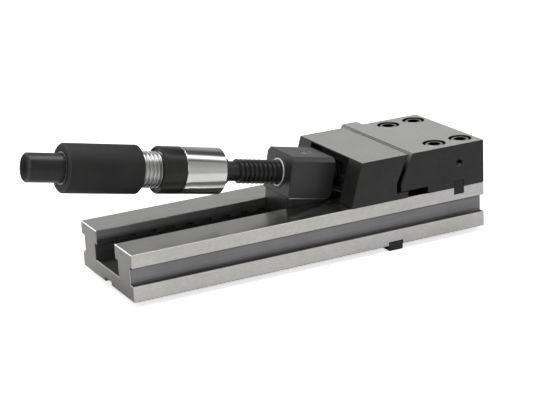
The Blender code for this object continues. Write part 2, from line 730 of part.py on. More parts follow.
# Pull-down insert: hangs in front of the wedge face and is guided by two screws
insert_outline = [
    (insert_knee_start, insert_bottom),
    (insert_face, insert_bottom),
    (insert_face, jaw_top),
    (insert_top_start, jaw_top),
    (insert_knee_start, knee),
]
bm = bmesh.new()
add_prism(bm, insert_outline, -rail_side, rail_side + INSERT_LUG)
pulldown_insert = add_object("pulldown_insert", bm, BLACK, insert_home)
chamfer(pulldown_insert, JAW_CHAMFER, keep_sharp=insert_face)
head_back = insert_face - INSERT_STROKE - FIT
head_seat = head_back - GUIDE_SCREW
insert_wall = guide_wall + WEDGE_GAP
bm = bmesh.new()
for side in (-1, 1):
    place = pointing(0, side * GUIDE_SCREW_SPREAD / 2, guide_z, 0, "X")
    head = screw_head(GUIDE_SCREW) + CUT_ROOM
    shank = GUIDE_SCREW / 2 + CUT_ROOM
    bore = spring_radius + GUIDE_SPRING_WIRE
    start = insert_knee_start - OVERRUN
    past = insert_face + OVERRUN
    floor = insert_wall + GUIDE_SPRING_RECESS
    add_turned(bm, [(start, 0), (start, bore), (floor, bore), (floor, shank), (head_seat - FIT, shank),
                    (head_seat - FIT, head), (past, head), (past, 0)], SMALL_SEGMENTS, place)
combine(pulldown_insert, add_object("cut_insert_holes", bm, frame=insert_home))
for side, label in SIDES:
    place = pointing(head_back, side * GUIDE_SCREW_SPREAD / 2, guide_z, pi, "Z")
    add_cap_screw("insert_screw_" + label, place, GUIDE_SCREW, head_back - guide_tip, jaw_home)
    bm = bmesh.new()
    place = pointing(0, side * GUIDE_SCREW_SPREAD / 2, guide_z, 0, "X")
    add_coil(bm, spring_seat + FIT, insert_wall + GUIDE_SPRING_RECESS - FIT, spring_radius,
             GUIDE_SPRING_WIRE, GUIDE_SPRING_TURNS, place)
    add_object("insert_spring_" + label, bm, BRIGHT, jaw_home, smooth=True)

# Keeper under the ledges and its screws
keeper_end = foot_end - KEEPER_END_GAP
keeper_start = keeper_end - KEEPER_LENGTH
wing = UNDERCUT_WIDTH / 2 - FIT
boss = CHANNEL_WIDTH / 2 - FIT
keeper_shoulder = LEDGE_UNDERSIDE - FIT
keeper_half = [(wing, keeper_bottom), (wing, keeper_shoulder), (boss, keeper_shoulder), (boss, RAIL_HEIGHT)]
bm = bmesh.new()
add_section(bm, keeper_half + [(-y, z) for y, z in reversed(keeper_half)], keeper_start, keeper_end)
jaw_keeper = add_object("jaw_keeper", bm, DARK_STEEL, jaw_home)
chamfer(jaw_keeper, RAIL_CHAMFER / 2)
bm = bmesh.new()
for side in (-1, 1):
    place = pointing(keeper_screw_x, side * KEEPER_SCREW_SPREAD / 2, keeper_screw_z, *UP)
    head = screw_head(KEEPER_SCREW) + CUT_ROOM
    shank = KEEPER_SCREW / 2 + CUT_ROOM
    seat = KEEPER_SCREW + FIT
    low = -KEEPER_SCREW_SUNK - OVERRUN
    high = RAIL_HEIGHT - keeper_screw_z + OVERRUN
    add_turned(bm, [(low, 0), (low, head), (seat, head), (seat, shank), (high, shank), (high, 0)],
               SMALL_SEGMENTS, place)
combine(jaw_keeper, add_object("cut_keeper", bm, frame=jaw_home))
for side, label in SIDES:
    place = pointing(keeper_screw_x, side * KEEPER_SCREW_SPREAD / 2, keeper_screw_z, *UP)
    add_cap_screw("keeper_screw_" + label, place, KEEPER_SCREW, KEEPER_SCREW_LENGTH, jaw_home)

# Thrust seat, retainer and cup
bm = bmesh.new()
add_rod(bm, pocket_wall, pocket_wall + SEAT_THICKNESS, SEAT_WIDTH / 2)
add_object("thrust_seat", bm, BRIGHT, spindle_frame, smooth=True)

collar = COLLAR_WIDTH / 2
collar_start = cup_end - COLLAR_LENGTH
retainer_end = pocket_wall - FIT
half = RETAINER_WIDTH / 2
bm = bmesh.new()
slot = CUP_WIDTH / 2 + RETAINER_PLAY
add_section(bm, [(-half, -RETAINER_DROP), (-slot, -RETAINER_DROP), (-slot, slot), (slot, slot),
                 (slot, -RETAINER_DROP), (half, -RETAINER_DROP), (half, RETAINER_RISE),
                 (-half, RETAINER_RISE)], retainer_head, retainer_end)
thrust_retainer = add_object("thrust_retainer", bm, DARK_STEEL, spindle_frame)
bm = bmesh.new()
groove = collar + RETAINER_PLAY
add_box(bm, (collar_start - FIT, retainer_end + OVERRUN), (-groove, groove),
        (-RETAINER_DROP - OVERRUN, groove))
combine(thrust_retainer, add_object("cut_retainer", bm, frame=spindle_frame))
bm = bmesh.new()
for side in (-1, 1):
    place = Matrix.Translation((retainer_head, side * RETAINER_SCREW_SPREAD / 2, 0))
    add_rod(bm, -OVERRUN, retainer_end - retainer_head + OVERRUN, RETAINER_SCREW / 2 + CUT_ROOM,
            SMALL_SEGMENTS, place)
combine(thrust_retainer, add_object("cut_retainer_holes", bm, frame=spindle_frame))
for side, label in SIDES:
    head_start = retainer_head - FIT - RETAINER_SCREW
    place = Matrix.Translation((head_start, side * RETAINER_SCREW_SPREAD / 2, 0))
    add_cap_screw("retainer_screw_" + label, place, RETAINER_SCREW, RETAINER_SCREW_LENGTH, spindle_frame)

cup_bore = NOSE_WIDTH / 2 + CUP_ROOM
cup_radius = CUP_WIDTH / 2
bm = bmesh.new()
add_turned(bm, [(cup_floor, 0), (cup_floor, cup_bore), (cup_start, cup_bore), (cup_start, cup_radius),
                (collar_start, cup_radius), (collar_start, collar), (cup_end, collar), (cup_end, 0)])
add_object("thrust_cup", bm, BRIGHT, spindle_frame, smooth=True)
bm = bmesh.new()
add_turned(bm, washer_profile(washer_start, washer_start + WASHER_THICKNESS, cup_bore, WASHER_WIDTH / 2),
           segments=SMALL_SEGMENTS, hollow=True)
add_object("thrust_washer", bm, BRONZE, spindle_frame, smooth=True)

# Nut block: tilted block on an upright stem whose toothed lugs reach under the ledges
bm = bmesh.new()
nut_side = NUT_WIDTH / 2
nut_half = NUT_HEIGHT / 2
cut = NUT_TOP_CHAMFER
add_section(bm, [(-nut_side, -nut_half), (nut_side, -nut_half), (nut_side, nut_half - cut),
                 (nut_side - cut, nut_half), (cut - nut_side, nut_half), (-nut_side, nut_half - cut)],
            0, NUT_LENGTH)
nut_block = add_object("nut_block", bm, BLACK, spindle_frame)
chamfer(nut_block, NUT_CHAMFER, 50)
heel_x = NUT_LENGTH - NUT_HEEL
heel_z = NUT_HEEL - nut_half
past_end = NUT_LENGTH + OVERRUN
heel_outline = [(past_end, heel_z), (past_end, -nut_half - OVERRUN), (heel_x, -nut_half - OVERRUN)]
for i in range(HEEL_SEGMENTS + 1):
    turn = pi / 2 * i / HEEL_SEGMENTS
    heel_outline.append((heel_x + NUT_HEEL * sin(turn), heel_z - NUT_HEEL * cos(turn)))
bm = bmesh.new()
add_prism(bm, heel_outline, -nut_side - OVERRUN, nut_side + OVERRUN)
combine(nut_block, add_object("cut_heel", bm, frame=spindle_frame))
stem_x = spindle_frame.translation.x + STEM_START
stem_end = stem_x + STEM_LENGTH
stem = CHANNEL_WIDTH / 2 - STEM_SIDE_ROOM
lug = UNDERCUT_WIDTH / 2 - STEM_SIDE_ROOM
lug_top = LEDGE_UNDERSIDE - LUG_DROP
lug_bottom = CHANNEL_FLOOR + STEM_FLOOR_GAP
stem_top = in_spindle(0, 0)[1] - nut_half / 2
stem_half = [(lug, lug_bottom), (lug, lug_top), (stem, lug_top), (stem, stem_top)]
bm = bmesh.new()
add_section(bm, stem_half + [(-y, z) for y, z in reversed(stem_half)], stem_x, stem_end)
stem_body = add_object("join_stem", bm, frame=carriage_home)
combine(nut_block, stem_body, "UNION")
bm = bmesh.new()
tooth_top = LEDGE_UNDERSIDE - TOOTH_DROP
first_notch = rail_start + RACK_START
near_notch = round((stem_x + STEM_LENGTH / 2 - RACK_PITCH / 2 - first_notch) / RACK_PITCH)
tooth_embed = stem - OVERRUN
for side in (-1, 1):
    for step in (0, 1):
        middle = first_notch + RACK_PITCH * (near_notch + step)
        half = TOOTH_LENGTH / 2
        start = max(middle - half, stem_x + CUT_ROOM)
        end = min(middle + half, stem_end - CUT_ROOM)
        reach = sorted((side * tooth_embed, side * (lug - CUT_ROOM)))
        add_box(bm, (start, end), reach, (lug_top - OVERRUN, tooth_top))
combine(nut_block, add_object("join_teeth", bm, frame=carriage_home), "UNION")
bm = bmesh.new()
ring_seat = bush_radius + RING_WALL
bore = bush_radius + FIT
add_rod(bm, -OVERRUN, NUT_LENGTH + OVERRUN, bore)
combine(nut_block, add_object("cut_nut_bore", bm, frame=spindle_frame))
bm = bmesh.new()
place = Matrix.Translation((LOCK_STATION, 0, 0)) @ Matrix.Rotation(radians(-90), 4, "Y")
recess = nut_half - LOCK_RECESS_DEPTH
add_turned(bm, [(bush_radius - OVERRUN, 0), (bush_radius - OVERRUN, LOCK_SCREW / 2 + CUT_ROOM),
                (recess, LOCK_SCREW / 2 + CUT_ROOM), (recess, LOCK_RECESS / 2),
                (nut_half + OVERRUN, LOCK_RECESS / 2), (nut_half + OVERRUN, 0)], SMALL_SEGMENTS, place)
combine(nut_block, add_object("cut_lock", bm, frame=spindle_frame))

bm = bmesh.new()
add_turned(bm, washer_profile(0, NUT_LENGTH, nut_bore, bush_radius), segments=SMALL_SEGMENTS, hollow=True)
add_object("nut_bush", bm, DARK_STEEL, spindle_frame, smooth=True)
bm = bmesh.new()
add_turned(bm, washer_profile(-FIT - RING_PROUD, -FIT, nut_bore, nut_bore + RING_WALL), hollow=True)
add_object("nut_ring", bm, BRIGHT, spindle_frame, smooth=True)
bm = bmesh.new()
lock_low = bush_radius + FIT
lock_high = recess
lock = LOCK_SCREW / 2
socket = lock * HEAD_SOCKET_DEPTH_SHARE
lock_floor = lock_high - (lock_high - lock_low) / 2
add_turned(bm, [(lock_low, 0), (lock_low, lock), (lock_high, lock), (lock_high, socket, HEXAGON),
                (lock_floor, socket, HEXAGON), (lock_floor, 0)], SMALL_SEGMENTS, place)
add_object("nut_lock_screw", bm, BLACK, spindle_frame, smooth=True)

# Threaded spindle: flange and neck, joined to a helical trapezoid thread with turned ends
bm = bmesh.new()
spigot = SPIGOT_WIDTH / 2
flange = FLANGE_WIDTH / 2
neck = NECK_WIDTH / 2
flange_back = cylinder_front + FIT
add_turned(bm, [(chamber_floor + FIT, 0), (chamber_floor + FIT, spigot), (flange_back, spigot),
                (flange_back, flange), (flange_front, flange), (flange_front, neck),
                (thread_start, neck), (thread_start, 0)])
spindle_screw = add_object("spindle_screw", bm, DARK_STEEL, spindle_frame, smooth=True)
bm = bmesh.new()
crest = THREAD_WIDTH / 2
add_thread(bm, thread_start - THREAD_PITCH * 2, screw_end + THREAD_PITCH * 2, crest, thread_root, THREAD_PITCH)
spindle_thread = add_object("join_thread", bm, frame=spindle_frame)
bm = bmesh.new()
nose = NOSE_WIDTH / 2
outside = crest + OVERRUN
lead = thread_root - THREAD_LEAD_IN / 2
add_turned(bm, [(thread_start - THREAD_EMBED, 0), (thread_start - THREAD_EMBED, lead), (thread_start, lead),
                (thread_start + THREAD_LEAD_IN * 2, outside),
                (screw_end - THREAD_LEAD_IN * 2, outside), (screw_end, lead), (screw_end, 0)])
combine(spindle_thread, add_object("trim_thread", bm, frame=spindle_frame), "INTERSECT")
combine(spindle_screw, spindle_thread, "UNION")
bm = bmesh.new()
add_rod(bm, screw_end - THREAD_EMBED, nose_end, nose)
combine(spindle_screw, add_object("join_nose", bm, frame=spindle_frame), "UNION")
bm = bmesh.new()
add_rod(bm, chamber_floor - OVERRUN, nose_end + OVERRUN, rod_bore, SMALL_SEGMENTS)
combine(spindle_screw, add_object("cut_rod_bore", bm, frame=spindle_frame))

# Cylinder, ring, threaded tube and sleeve
bm = bmesh.new()
outer = CYLINDER_WIDTH / 2
bevel = CYLINDER_CHAMFER
mouth = spigot + FIT
cylinder_mouth = cylinder_back + FIT / 2
cylinder_end = cylinder_front
add_turned(bm, [(cylinder_mouth, chamber_radius), (cylinder_mouth, outer - bevel),
                (cylinder_mouth + bevel, outer), (cylinder_end - bevel, outer), (cylinder_end, outer - bevel),
                (cylinder_end, mouth), (chamber_floor, mouth), (chamber_floor, chamber_radius)], hollow=True)
cylinder_body = add_object("cylinder_body", bm, POLISHED, spindle_frame, smooth=True)
piston_back = tube_front + OIL_GAP
filler_x = tube_front + OIL_GAP / 2
filler_place = Matrix.Translation((filler_x, 0, 0)) @ Matrix.Rotation(radians(90), 4, "Y")
filler = FILLER_SCREW / 2
bm = bmesh.new()
add_rod(bm, chamber_radius - OVERRUN, outer + OVERRUN, filler + CUT_ROOM, SMALL_SEGMENTS, filler_place)
combine(cylinder_body, add_object("cut_filler", bm, frame=spindle_frame))
bm = bmesh.new()
filler_top = outer - FILLER_SUNK
filler_low = filler_top - FILLER_SCREW_LENGTH
filler_floor = filler_top - FILLER_SCREW_LENGTH / 2
socket = filler * HEAD_SOCKET_DEPTH_SHARE
add_turned(bm, [(filler_low, 0), (filler_low, filler), (filler_top, filler), (filler_top, socket, HEXAGON),
                (filler_floor, socket, HEXAGON), (filler_floor, 0)], SMALL_SEGMENTS, filler_place)
add_object("filler_screw", bm, BLACK, spindle_frame, smooth=True)

bm = bmesh.new()
ring_front = cylinder_back - FIT / 2
ring_outer = RING_WIDTH / 2
ring_bore = tube_radius + FIT
ring_rim = ring_outer - RING_LIP
add_turned(bm, [(ring_back + RING_RECESS, ring_bore), (ring_back + RING_RECESS, ring_rim),
                (ring_back, ring_rim + bevel), (ring_back, ring_outer - bevel), (ring_back + bevel, ring_outer),
                (ring_front - bevel, ring_outer), (ring_front, ring_outer - bevel), (ring_front, ring_bore)],
           hollow=True)
add_object("cylinder_ring", bm, BLACK, spindle_frame, smooth=True)

bm = bmesh.new()
tube_root = tube_radius - TUBE_THREAD_DEPTH
tube_core = tube_root - OVERRUN
tube_shoulder = cylinder_back - FIT
tube_spigot = chamber_radius - FIT
thread_back = sleeve_front - TUBE_THREAD_HIDDEN
thread_front = ring_back + RING_RECESS * 2
add_turned(bm, [(tube_back, 0), (tube_back, tube_radius), (thread_back, tube_radius),
                (thread_back, tube_core), (thread_front, tube_core),
                (thread_front, tube_radius), (tube_shoulder, tube_radius), (tube_shoulder, tube_spigot),
                (tube_front, tube_spigot), (tube_front, 0)])
threaded_tube = add_object("threaded_tube", bm, BRIGHT, spindle_frame, smooth=True)
bm = bmesh.new()
add_thread(bm, thread_back - TUBE_PITCH * 2, thread_front + TUBE_PITCH * 2, tube_radius, tube_root, TUBE_PITCH)
tube_thread = add_object("join_tube_thread", bm, frame=spindle_frame)
bm = bmesh.new()
relief = TUBE_THREAD_DEPTH
outside = tube_radius + OVERRUN
add_turned(bm, [(thread_back + relief, 0), (thread_back + relief, tube_root),
                (thread_back + relief * 2 + OVERRUN, outside), (thread_front - relief * 2 - OVERRUN, outside),
                (thread_front - relief, tube_root), (thread_front - relief, 0)])
combine(tube_thread, add_object("trim_tube_thread", bm, frame=spindle_frame), "INTERSECT")
combine(threaded_tube, tube_thread, "UNION")
bm = bmesh.new()
add_rod(bm, tube_back - OVERRUN, tube_front + OVERRUN, tube_bore)
combine(threaded_tube, add_object("cut_tube_bore", bm, frame=spindle_frame))
bm = bmesh.new()
for i in range(CLUTCH_BALL_COUNT):
    place = Matrix.Rotation(tau * i / CLUTCH_BALL_COUNT, 4, "X")
    place = place @ Matrix.Translation((tube_back, 0, CLUTCH_BALL_CIRCLE / 2))
    add_rod(bm, -OVERRUN, CLUTCH_POCKET_DEPTH, CLUTCH_BALL / 2 + CUT_ROOM, SMALL_SEGMENTS, place)
combine(threaded_tube, add_object("cut_ball_pockets", bm, frame=spindle_frame))

bm = bmesh.new()
outer = SLEEVE_WIDTH / 2
bevel = SLEEVE_CHAMFER
stub_bore = stub_radius + FIT
ring_pocket = stub_bore + STUB_RING_WALL + FIT
pocket_floor = sleeve_back + STUB_RING_THICKNESS + FIT
add_turned(bm, [(sleeve_front, sleeve_bore), (sleeve_front, outer - bevel), (sleeve_front - bevel, outer),
                (sleeve_back + bevel, outer), (sleeve_back, outer - bevel), (sleeve_back, ring_pocket),
                (pocket_floor, ring_pocket), (pocket_floor, stub_bore), (sleeve_wall, stub_bore),
                (sleeve_wall, sleeve_bore)], hollow=True)
add_object("grip_sleeve", bm, BLACK, spindle_frame, smooth=True)
bm = bmesh.new()
add_turned(bm, washer_profile(sleeve_back, sleeve_back + STUB_RING_THICKNESS, stub_bore,
                              stub_bore + STUB_RING_WALL), hollow=True)
add_object("stub_ring", bm, BRIGHT, spindle_frame, smooth=True)

# Drive stub, clutch and power screw
groove_low = CLUTCH_BALL_CIRCLE / 2 - CLUTCH_BALL / 2 - FIT
groove_high = CLUTCH_BALL_CIRCLE / 2 + CLUTCH_BALL / 2 + FIT
clutch_radius = sleeve_bore - FIT
power_radius = POWER_SCREW_WIDTH / 2
socket = SOCKET_ACROSS / 2 / cos(pi / HEXAGON)
bm = bmesh.new()
add_turned(bm, [
    (stub_end + SOCKET_DEPTH, 0),
    (stub_end + SOCKET_DEPTH, socket, HEXAGON),
    (stub_end, socket, HEXAGON),
    (stub_end, stub_radius - STUB_CHAMFER),
    (stub_end + STUB_CHAMFER, stub_radius),
    (clutch_back, stub_radius),
    (clutch_back, clutch_radius),
    (clutch_front, clutch_radius),
    (clutch_front, groove_high),
    (clutch_front - CLUTCH_GROOVE_DEPTH, groove_high),
    (clutch_front - CLUTCH_GROOVE_DEPTH, groove_low),
    (clutch_front, groove_low),
    (clutch_front, power_radius + FIT),
    (clutch_back, power_radius + FIT),
    (clutch_back, 0),
])
add_object("drive_stub", bm, BLACK, spindle_frame, smooth=True)
bm = bmesh.new()
power_start = clutch_back + FIT
power_end = plunger_hole_end - FIT
add_turned(bm, [(power_start, 0), (power_start, power_radius), (power_end - FIT, power_radius),
                (power_end, power_radius - FIT), (power_end, 0)], SMALL_SEGMENTS)
add_object("power_screw", bm, DARK_STEEL, spindle_frame, smooth=True)
for i in range(CLUTCH_SPRING_COUNT):
    bm = bmesh.new()
    back = sleeve_wall + FIT + (CLUTCH_SPRING_THICKNESS * 2 + FIT) * i
    lift = CLUTCH_SPRING_THICKNESS
    rise = lift * (1 - i % 2)
    fall = lift * (i % 2)
    add_turned(bm, [(back + rise, stub_bore), (back + rise + lift, stub_bore),
                    (back + fall + lift, clutch_radius), (back + fall, clutch_radius)], segments=SMALL_SEGMENTS,
               hollow=True)
    add_object(f"clutch_spring_{i + 1}", bm, DARK_STEEL, spindle_frame, smooth=True)
for i in range(CLUTCH_BALL_COUNT):
    bm = bmesh.new()
    place = Matrix.Rotation(tau * i / CLUTCH_BALL_COUNT, 4, "X")
    place = place @ Matrix.Translation((ball_x, 0, CLUTCH_BALL_CIRCLE / 2))
    bmesh.ops.create_uvsphere(bm, u_segments=BALL_SEGMENTS, v_segments=BALL_SEGMENTS // 2,
                              radius=CLUTCH_BALL / 2, matrix=place)
    add_object(f"clutch_ball_{i + 1}", bm, BRIGHT, spindle_frame, smooth=True)


# Plunger, piston, seals, rod and return spring
def sealed_profile(start, end, radius):
    """A plain cylinder with one seal groove near its oil end."""
    floor = radius - SEAL_WALL - FIT
    groove_end = end - SEAL_END_GAP
    groove_start = groove_end - SEAL_LENGTH - FIT * 2
    return [(start, radius), (groove_start, radius), (groove_start, floor), (groove_end, floor),
            (groove_end, radius), (end, radius)]


def seal_profile(end, radius):
    high = end - SEAL_END_GAP - FIT
    return washer_profile(high - SEAL_LENGTH, high, radius - SEAL_WALL, radius)


plunger_radius = PLUNGER_WIDTH / 2
bm = bmesh.new()
hole = power_radius + FIT
profile = [(plunger_hole_end, 0), (plunger_hole_end, hole), (plunger_start, hole)]
add_turned(bm, profile + sealed_profile(plunger_start, plunger_end, plunger_radius) + [(plunger_end, 0)],
           SMALL_SEGMENTS)
add_object("plunger", bm, BRIGHT, spindle_frame, smooth=True)
bm = bmesh.new()
add_turned(bm, seal_profile(plunger_end, plunger_radius), segments=SMALL_SEGMENTS, hollow=True)
add_object("plunger_seal", bm, RUBBER, spindle_frame, smooth=True)

piston_radius = chamber_radius - FIT
piston_front = piston_back + PISTON_LENGTH
rod = ROD_WIDTH / 2
bm = bmesh.new()
profile = sealed_profile(piston_back, piston_front, piston_radius)
rod_seat = piston_front - ROD_SOCKET
add_turned(bm, [(piston_back, 0)] + profile + [(piston_front, rod_bore), (rod_seat, rod_bore), (rod_seat, 0)],
           SMALL_SEGMENTS)
add_object("main_piston", bm, BRIGHT, spindle_frame, smooth=True)
bm = bmesh.new()
add_turned(bm, seal_profile(piston_front, piston_radius), segments=SMALL_SEGMENTS, hollow=True)
add_object("piston_seal", bm, RUBBER, spindle_frame, smooth=True)
bm = bmesh.new()
add_rod(bm, rod_seat + FIT, nose_end, rod, SMALL_SEGMENTS)
add_object("thrust_rod", bm, BRIGHT, spindle_frame, smooth=True)
bm = bmesh.new()
coil_radius = (mouth + chamber_radius) / 2
add_coil(bm, piston_front + FIT, chamber_floor - FIT, coil_radius, RETURN_SPRING_WIRE, RETURN_SPRING_TURNS)
add_object("return_spring", bm, BRIGHT, spindle_frame, smooth=True)
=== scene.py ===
import json
import math

import bmesh
import bpy
from mathutils import Matrix, Vector

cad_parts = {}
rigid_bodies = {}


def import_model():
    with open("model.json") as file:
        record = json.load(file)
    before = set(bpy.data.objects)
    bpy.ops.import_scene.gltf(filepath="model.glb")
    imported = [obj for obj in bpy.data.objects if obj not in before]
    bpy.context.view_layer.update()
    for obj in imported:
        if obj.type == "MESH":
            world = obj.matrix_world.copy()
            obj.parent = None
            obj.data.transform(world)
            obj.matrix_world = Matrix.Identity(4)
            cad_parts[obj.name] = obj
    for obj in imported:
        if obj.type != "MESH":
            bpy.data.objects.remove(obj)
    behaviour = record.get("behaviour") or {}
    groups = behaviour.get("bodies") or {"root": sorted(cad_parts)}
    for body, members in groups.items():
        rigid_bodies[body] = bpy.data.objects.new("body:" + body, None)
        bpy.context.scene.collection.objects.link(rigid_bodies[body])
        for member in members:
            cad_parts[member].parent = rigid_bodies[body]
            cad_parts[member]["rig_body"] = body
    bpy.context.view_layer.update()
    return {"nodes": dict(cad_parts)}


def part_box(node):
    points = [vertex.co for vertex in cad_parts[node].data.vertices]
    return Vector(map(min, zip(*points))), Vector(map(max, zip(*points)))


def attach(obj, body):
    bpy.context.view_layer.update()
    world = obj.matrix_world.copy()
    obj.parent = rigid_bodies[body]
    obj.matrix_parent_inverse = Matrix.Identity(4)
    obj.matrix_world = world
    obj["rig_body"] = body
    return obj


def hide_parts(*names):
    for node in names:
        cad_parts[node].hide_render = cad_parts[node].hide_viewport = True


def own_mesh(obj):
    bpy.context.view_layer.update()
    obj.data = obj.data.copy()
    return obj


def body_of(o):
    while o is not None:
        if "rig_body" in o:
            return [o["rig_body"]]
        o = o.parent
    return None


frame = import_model()
nodes = frame["nodes"]
print("frame loaded:", len(nodes), "nodes")

# lengths are metres; the spindle's own x runs down the spindle from the nut's front face
spindle = {"tilt": math.radians(11.1), "start": (-0.00735, 0, 0.0773)}
spindlePlace = Matrix.Translation(spindle["start"]) @ Matrix.Rotation(spindle["tilt"], 4, "Y")
quarterTurn = Matrix.Rotation(math.radians(90), 4, "Y")


def startMaterial(name):
    material = bpy.data.materials.new(name)
    material.use_nodes = True
    tree = material.node_tree
    return material, tree, tree.nodes["Principled BSDF"]


def feed(tree, socket, value):
    # a number or colour is set on the socket, an output is linked to it
    if isinstance(value, (int, float)):
        socket.default_value = value
    elif isinstance(value, tuple):
        socket.default_value = (*value, 1)
    else:
        tree.links.new(value, socket)


def objectCoordinates(tree, alongSpindle=False):
    coordinates = tree.nodes.new("ShaderNodeTexCoord")
    if not alongSpindle:
        return coordinates.outputs["Object"]
    mapping = tree.nodes.new("ShaderNodeMapping")
    mapping.vector_type = "TEXTURE"
    mapping.inputs["Location"].default_value = spindle["start"]
    mapping.inputs["Rotation"].default_value = (0, spindle["tilt"], 0)
    tree.links.new(coordinates.outputs["Object"], mapping.inputs["Vector"])
    return mapping.outputs["Vector"]


def splitCoordinates(tree, alongSpindle=False):
    split = tree.nodes.new("ShaderNodeSeparateXYZ")
    tree.links.new(objectCoordinates(tree, alongSpindle), split.inputs[0])
    return split.outputs[:3]


def calculate(tree, operation, first, second=0.0):
    node = tree.nodes.new("ShaderNodeMath")
    node.operation = operation
    feed(tree, node.inputs[0], first)
    feed(tree, node.inputs[1], second)
    return node.outputs[0]


def overlap(tree, *masks):
    shared = masks[0]
    for mask in masks[1:]:
        shared = calculate(tree, "MULTIPLY", shared, mask)
    return shared


def reachFrom(tree, across, up):
    squares = [calculate(tree, "MULTIPLY", value, value) for value in (across, up)]
    return calculate(tree, "SQRT", calculate(tree, "ADD", *squares))


def noise(tree, vector, scale, stretch, fineness):
    mapping = tree.nodes.new("ShaderNodeMapping")
    mapping.inputs["Scale"].default_value = stretch
    tree.links.new(vector, mapping.inputs["Vector"])
    texture = tree.nodes.new("ShaderNodeTexNoise")
    texture.inputs["Scale"].default_value = scale
    texture.inputs["Detail"].default_value = fineness["detail"]
    texture.inputs["Roughness"].default_value = fineness["rough"]
    tree.links.new(mapping.outputs["Vector"], texture.inputs["Vector"])
    return texture.outputs["Fac"]


def ramp(tree, value, low, high, outLow=0.0, outHigh=1.0):
    node = tree.nodes.new("ShaderNodeMapRange")
    for name, number in (("From Min", low), ("From Max", high), ("To Min", outLow), ("To Max", outHigh)):
        node.inputs[name].default_value = number
    tree.links.new(value, node.inputs["Value"])
    return node.outputs["Result"]


def insideRange(tree, value, low, high, edge=0.00008):
    up = ramp(tree, value, low - edge, low + edge)
    down = ramp(tree, value, high - edge, high + edge, 1.0, 0.0)
    return overlap(tree, up, down)


def mixColour(tree, share, first, second):
    node = tree.nodes.new("ShaderNodeMix")
    node.data_type = "RGBA"
    sockets = [node.inputs["Factor"], *[s for s in node.inputs if s.type == "RGBA"]]
    for socket, value in zip(sockets, (share, first, second)):
        feed(tree, socket, value)
    return [s for s in node.outputs if s.type == "RGBA"][0]


def mixValue(tree, share, first, second):
    node = tree.nodes.new("ShaderNodeMix")
    sockets = [s for s in node.inputs if s.type == "VALUE"][:3]
    for socket, value in zip(sockets, (share, first, second)):
        feed(tree, socket, value)
    return [s for s in node.outputs if s.type == "VALUE"][0]


# how fine the noise is, and which part of it shows
grainNoise = {"detail": 3, "rough": 0.6, "shown": (0.35, 0.75)}
cloudNoise = {"detail": 5, "rough": 0.55, "shown": (0.32, 0.68)}
roughRange = (0.6, 1.4)


def finishSockets(tree, look, vector):
    grain = noise(tree, vector, look["grainScale"], look["grainStretch"], grainNoise)
    cloud = noise(tree, vector, look["cloudScale"], (1, 1, 1), cloudNoise)
    tone = mixColour(tree, ramp(tree, cloud, *cloudNoise["shown"]), look["dark"], look["light"])
    share = ramp(tree, grain, *grainNoise["shown"], 0, look["grainTone"])
    tone = mixColour(tree, share, tone, look["grainColour"])
    middle, spread = look["roughness"], look["roughnessSpread"]
    rough = ramp(tree, calculate(tree, "ADD", cloud, grain), *roughRange, middle - spread, middle + spread)
    return tone, rough, grain


def makeFinish(name, base, layers=(), alongSpindle=False):
    # each layer is a mask and the look that covers the ones before it there
    material, tree, shader = startMaterial(name)
    vector = objectCoordinates(tree, alongSpindle)
    tone, rough, grain = finishSockets(tree, base, vector)
    metal = base["metallic"]
    for makeMask, look in layers:
        mask = makeMask(tree)
        nextTone, nextRough, nextGrain = finishSockets(tree, look, vector)
        tone = mixColour(tree, mask, tone, nextTone)
        rough = mixValue(tree, mask, rough, nextRough)
        grain = mixValue(tree, mask, grain, nextGrain)
        metal = mixValue(tree, mask, metal, look["metallic"])
    bump = tree.nodes.new("ShaderNodeBump")
    bump.inputs["Strength"].default_value = base["bump"]
    bump.inputs["Distance"].default_value = base["bumpDepth"]
    tree.links.new(grain, bump.inputs["Height"])
    tree.links.new(bump.outputs["Normal"], shader.inputs["Normal"])
    tree.links.new(tone, shader.inputs["Base Color"])
    tree.links.new(rough, shader.inputs["Roughness"])
    feed(tree, shader.inputs["Metallic"], metal)
    shader.inputs["Specular IOR Level"].default_value = base["specular"]
    return material


# ground steel, with the grain along the rail
groundLook = {"dark": (0.42, 0.415, 0.40), "light": (0.49, 0.485, 0.47), "grainColour": (0.30, 0.30, 0.29),
              "grainTone": 0.30, "grainScale": 260, "grainStretch": (0.05, 1.6, 1.6), "cloudScale": 22,
              "roughness": 0.22, "roughnessSpread": 0.06, "metallic": 1.0, "specular": 0.5, "bump": 0.05,
              "bumpDepth": 0.0001}
# painted reflection: the rail's far top is painted lighter for the brighter things it mirrors
farTopReflectionLook = dict(groundLook, dark=(0.54, 0.535, 0.52), light=(0.62, 0.615, 0.60))
sideLook = dict(groundLook, dark=(0.54, 0.535, 0.515), light=(0.62, 0.615, 0.595), roughness=0.40,
                grainStretch=(0.6, 1, 1), grainScale=520, grainTone=0.24)
endLook = dict(groundLook, dark=(0.23, 0.226, 0.216), light=(0.30, 0.295, 0.284), roughness=0.42,
               grainStretch=(1.6, 0.1, 1.6))
# painted highlight: near white along the end edges of the rail's tops
edgeHighlightLook = dict(groundLook, dark=(0.92, 0.92, 0.91), light=(0.96, 0.96, 0.95), roughness=0.3)
jawTopLook = dict(groundLook, dark=(0.645, 0.64, 0.62), light=(0.675, 0.67, 0.65), roughness=0.36,
                  grainStretch=(1.6, 0.05, 1.6), grainScale=900, grainTone=0.18)
fixedTopLook = dict(jawTopLook, dark=(0.745, 0.74, 0.72), light=(0.775, 0.77, 0.75))
# painted reflection: pale floor of the nut's top recess
recessReflectionLook = dict(groundLook, dark=(0.80, 0.80, 0.78), light=(0.92, 0.92, 0.90), roughness=0.4, metallic=0.0)
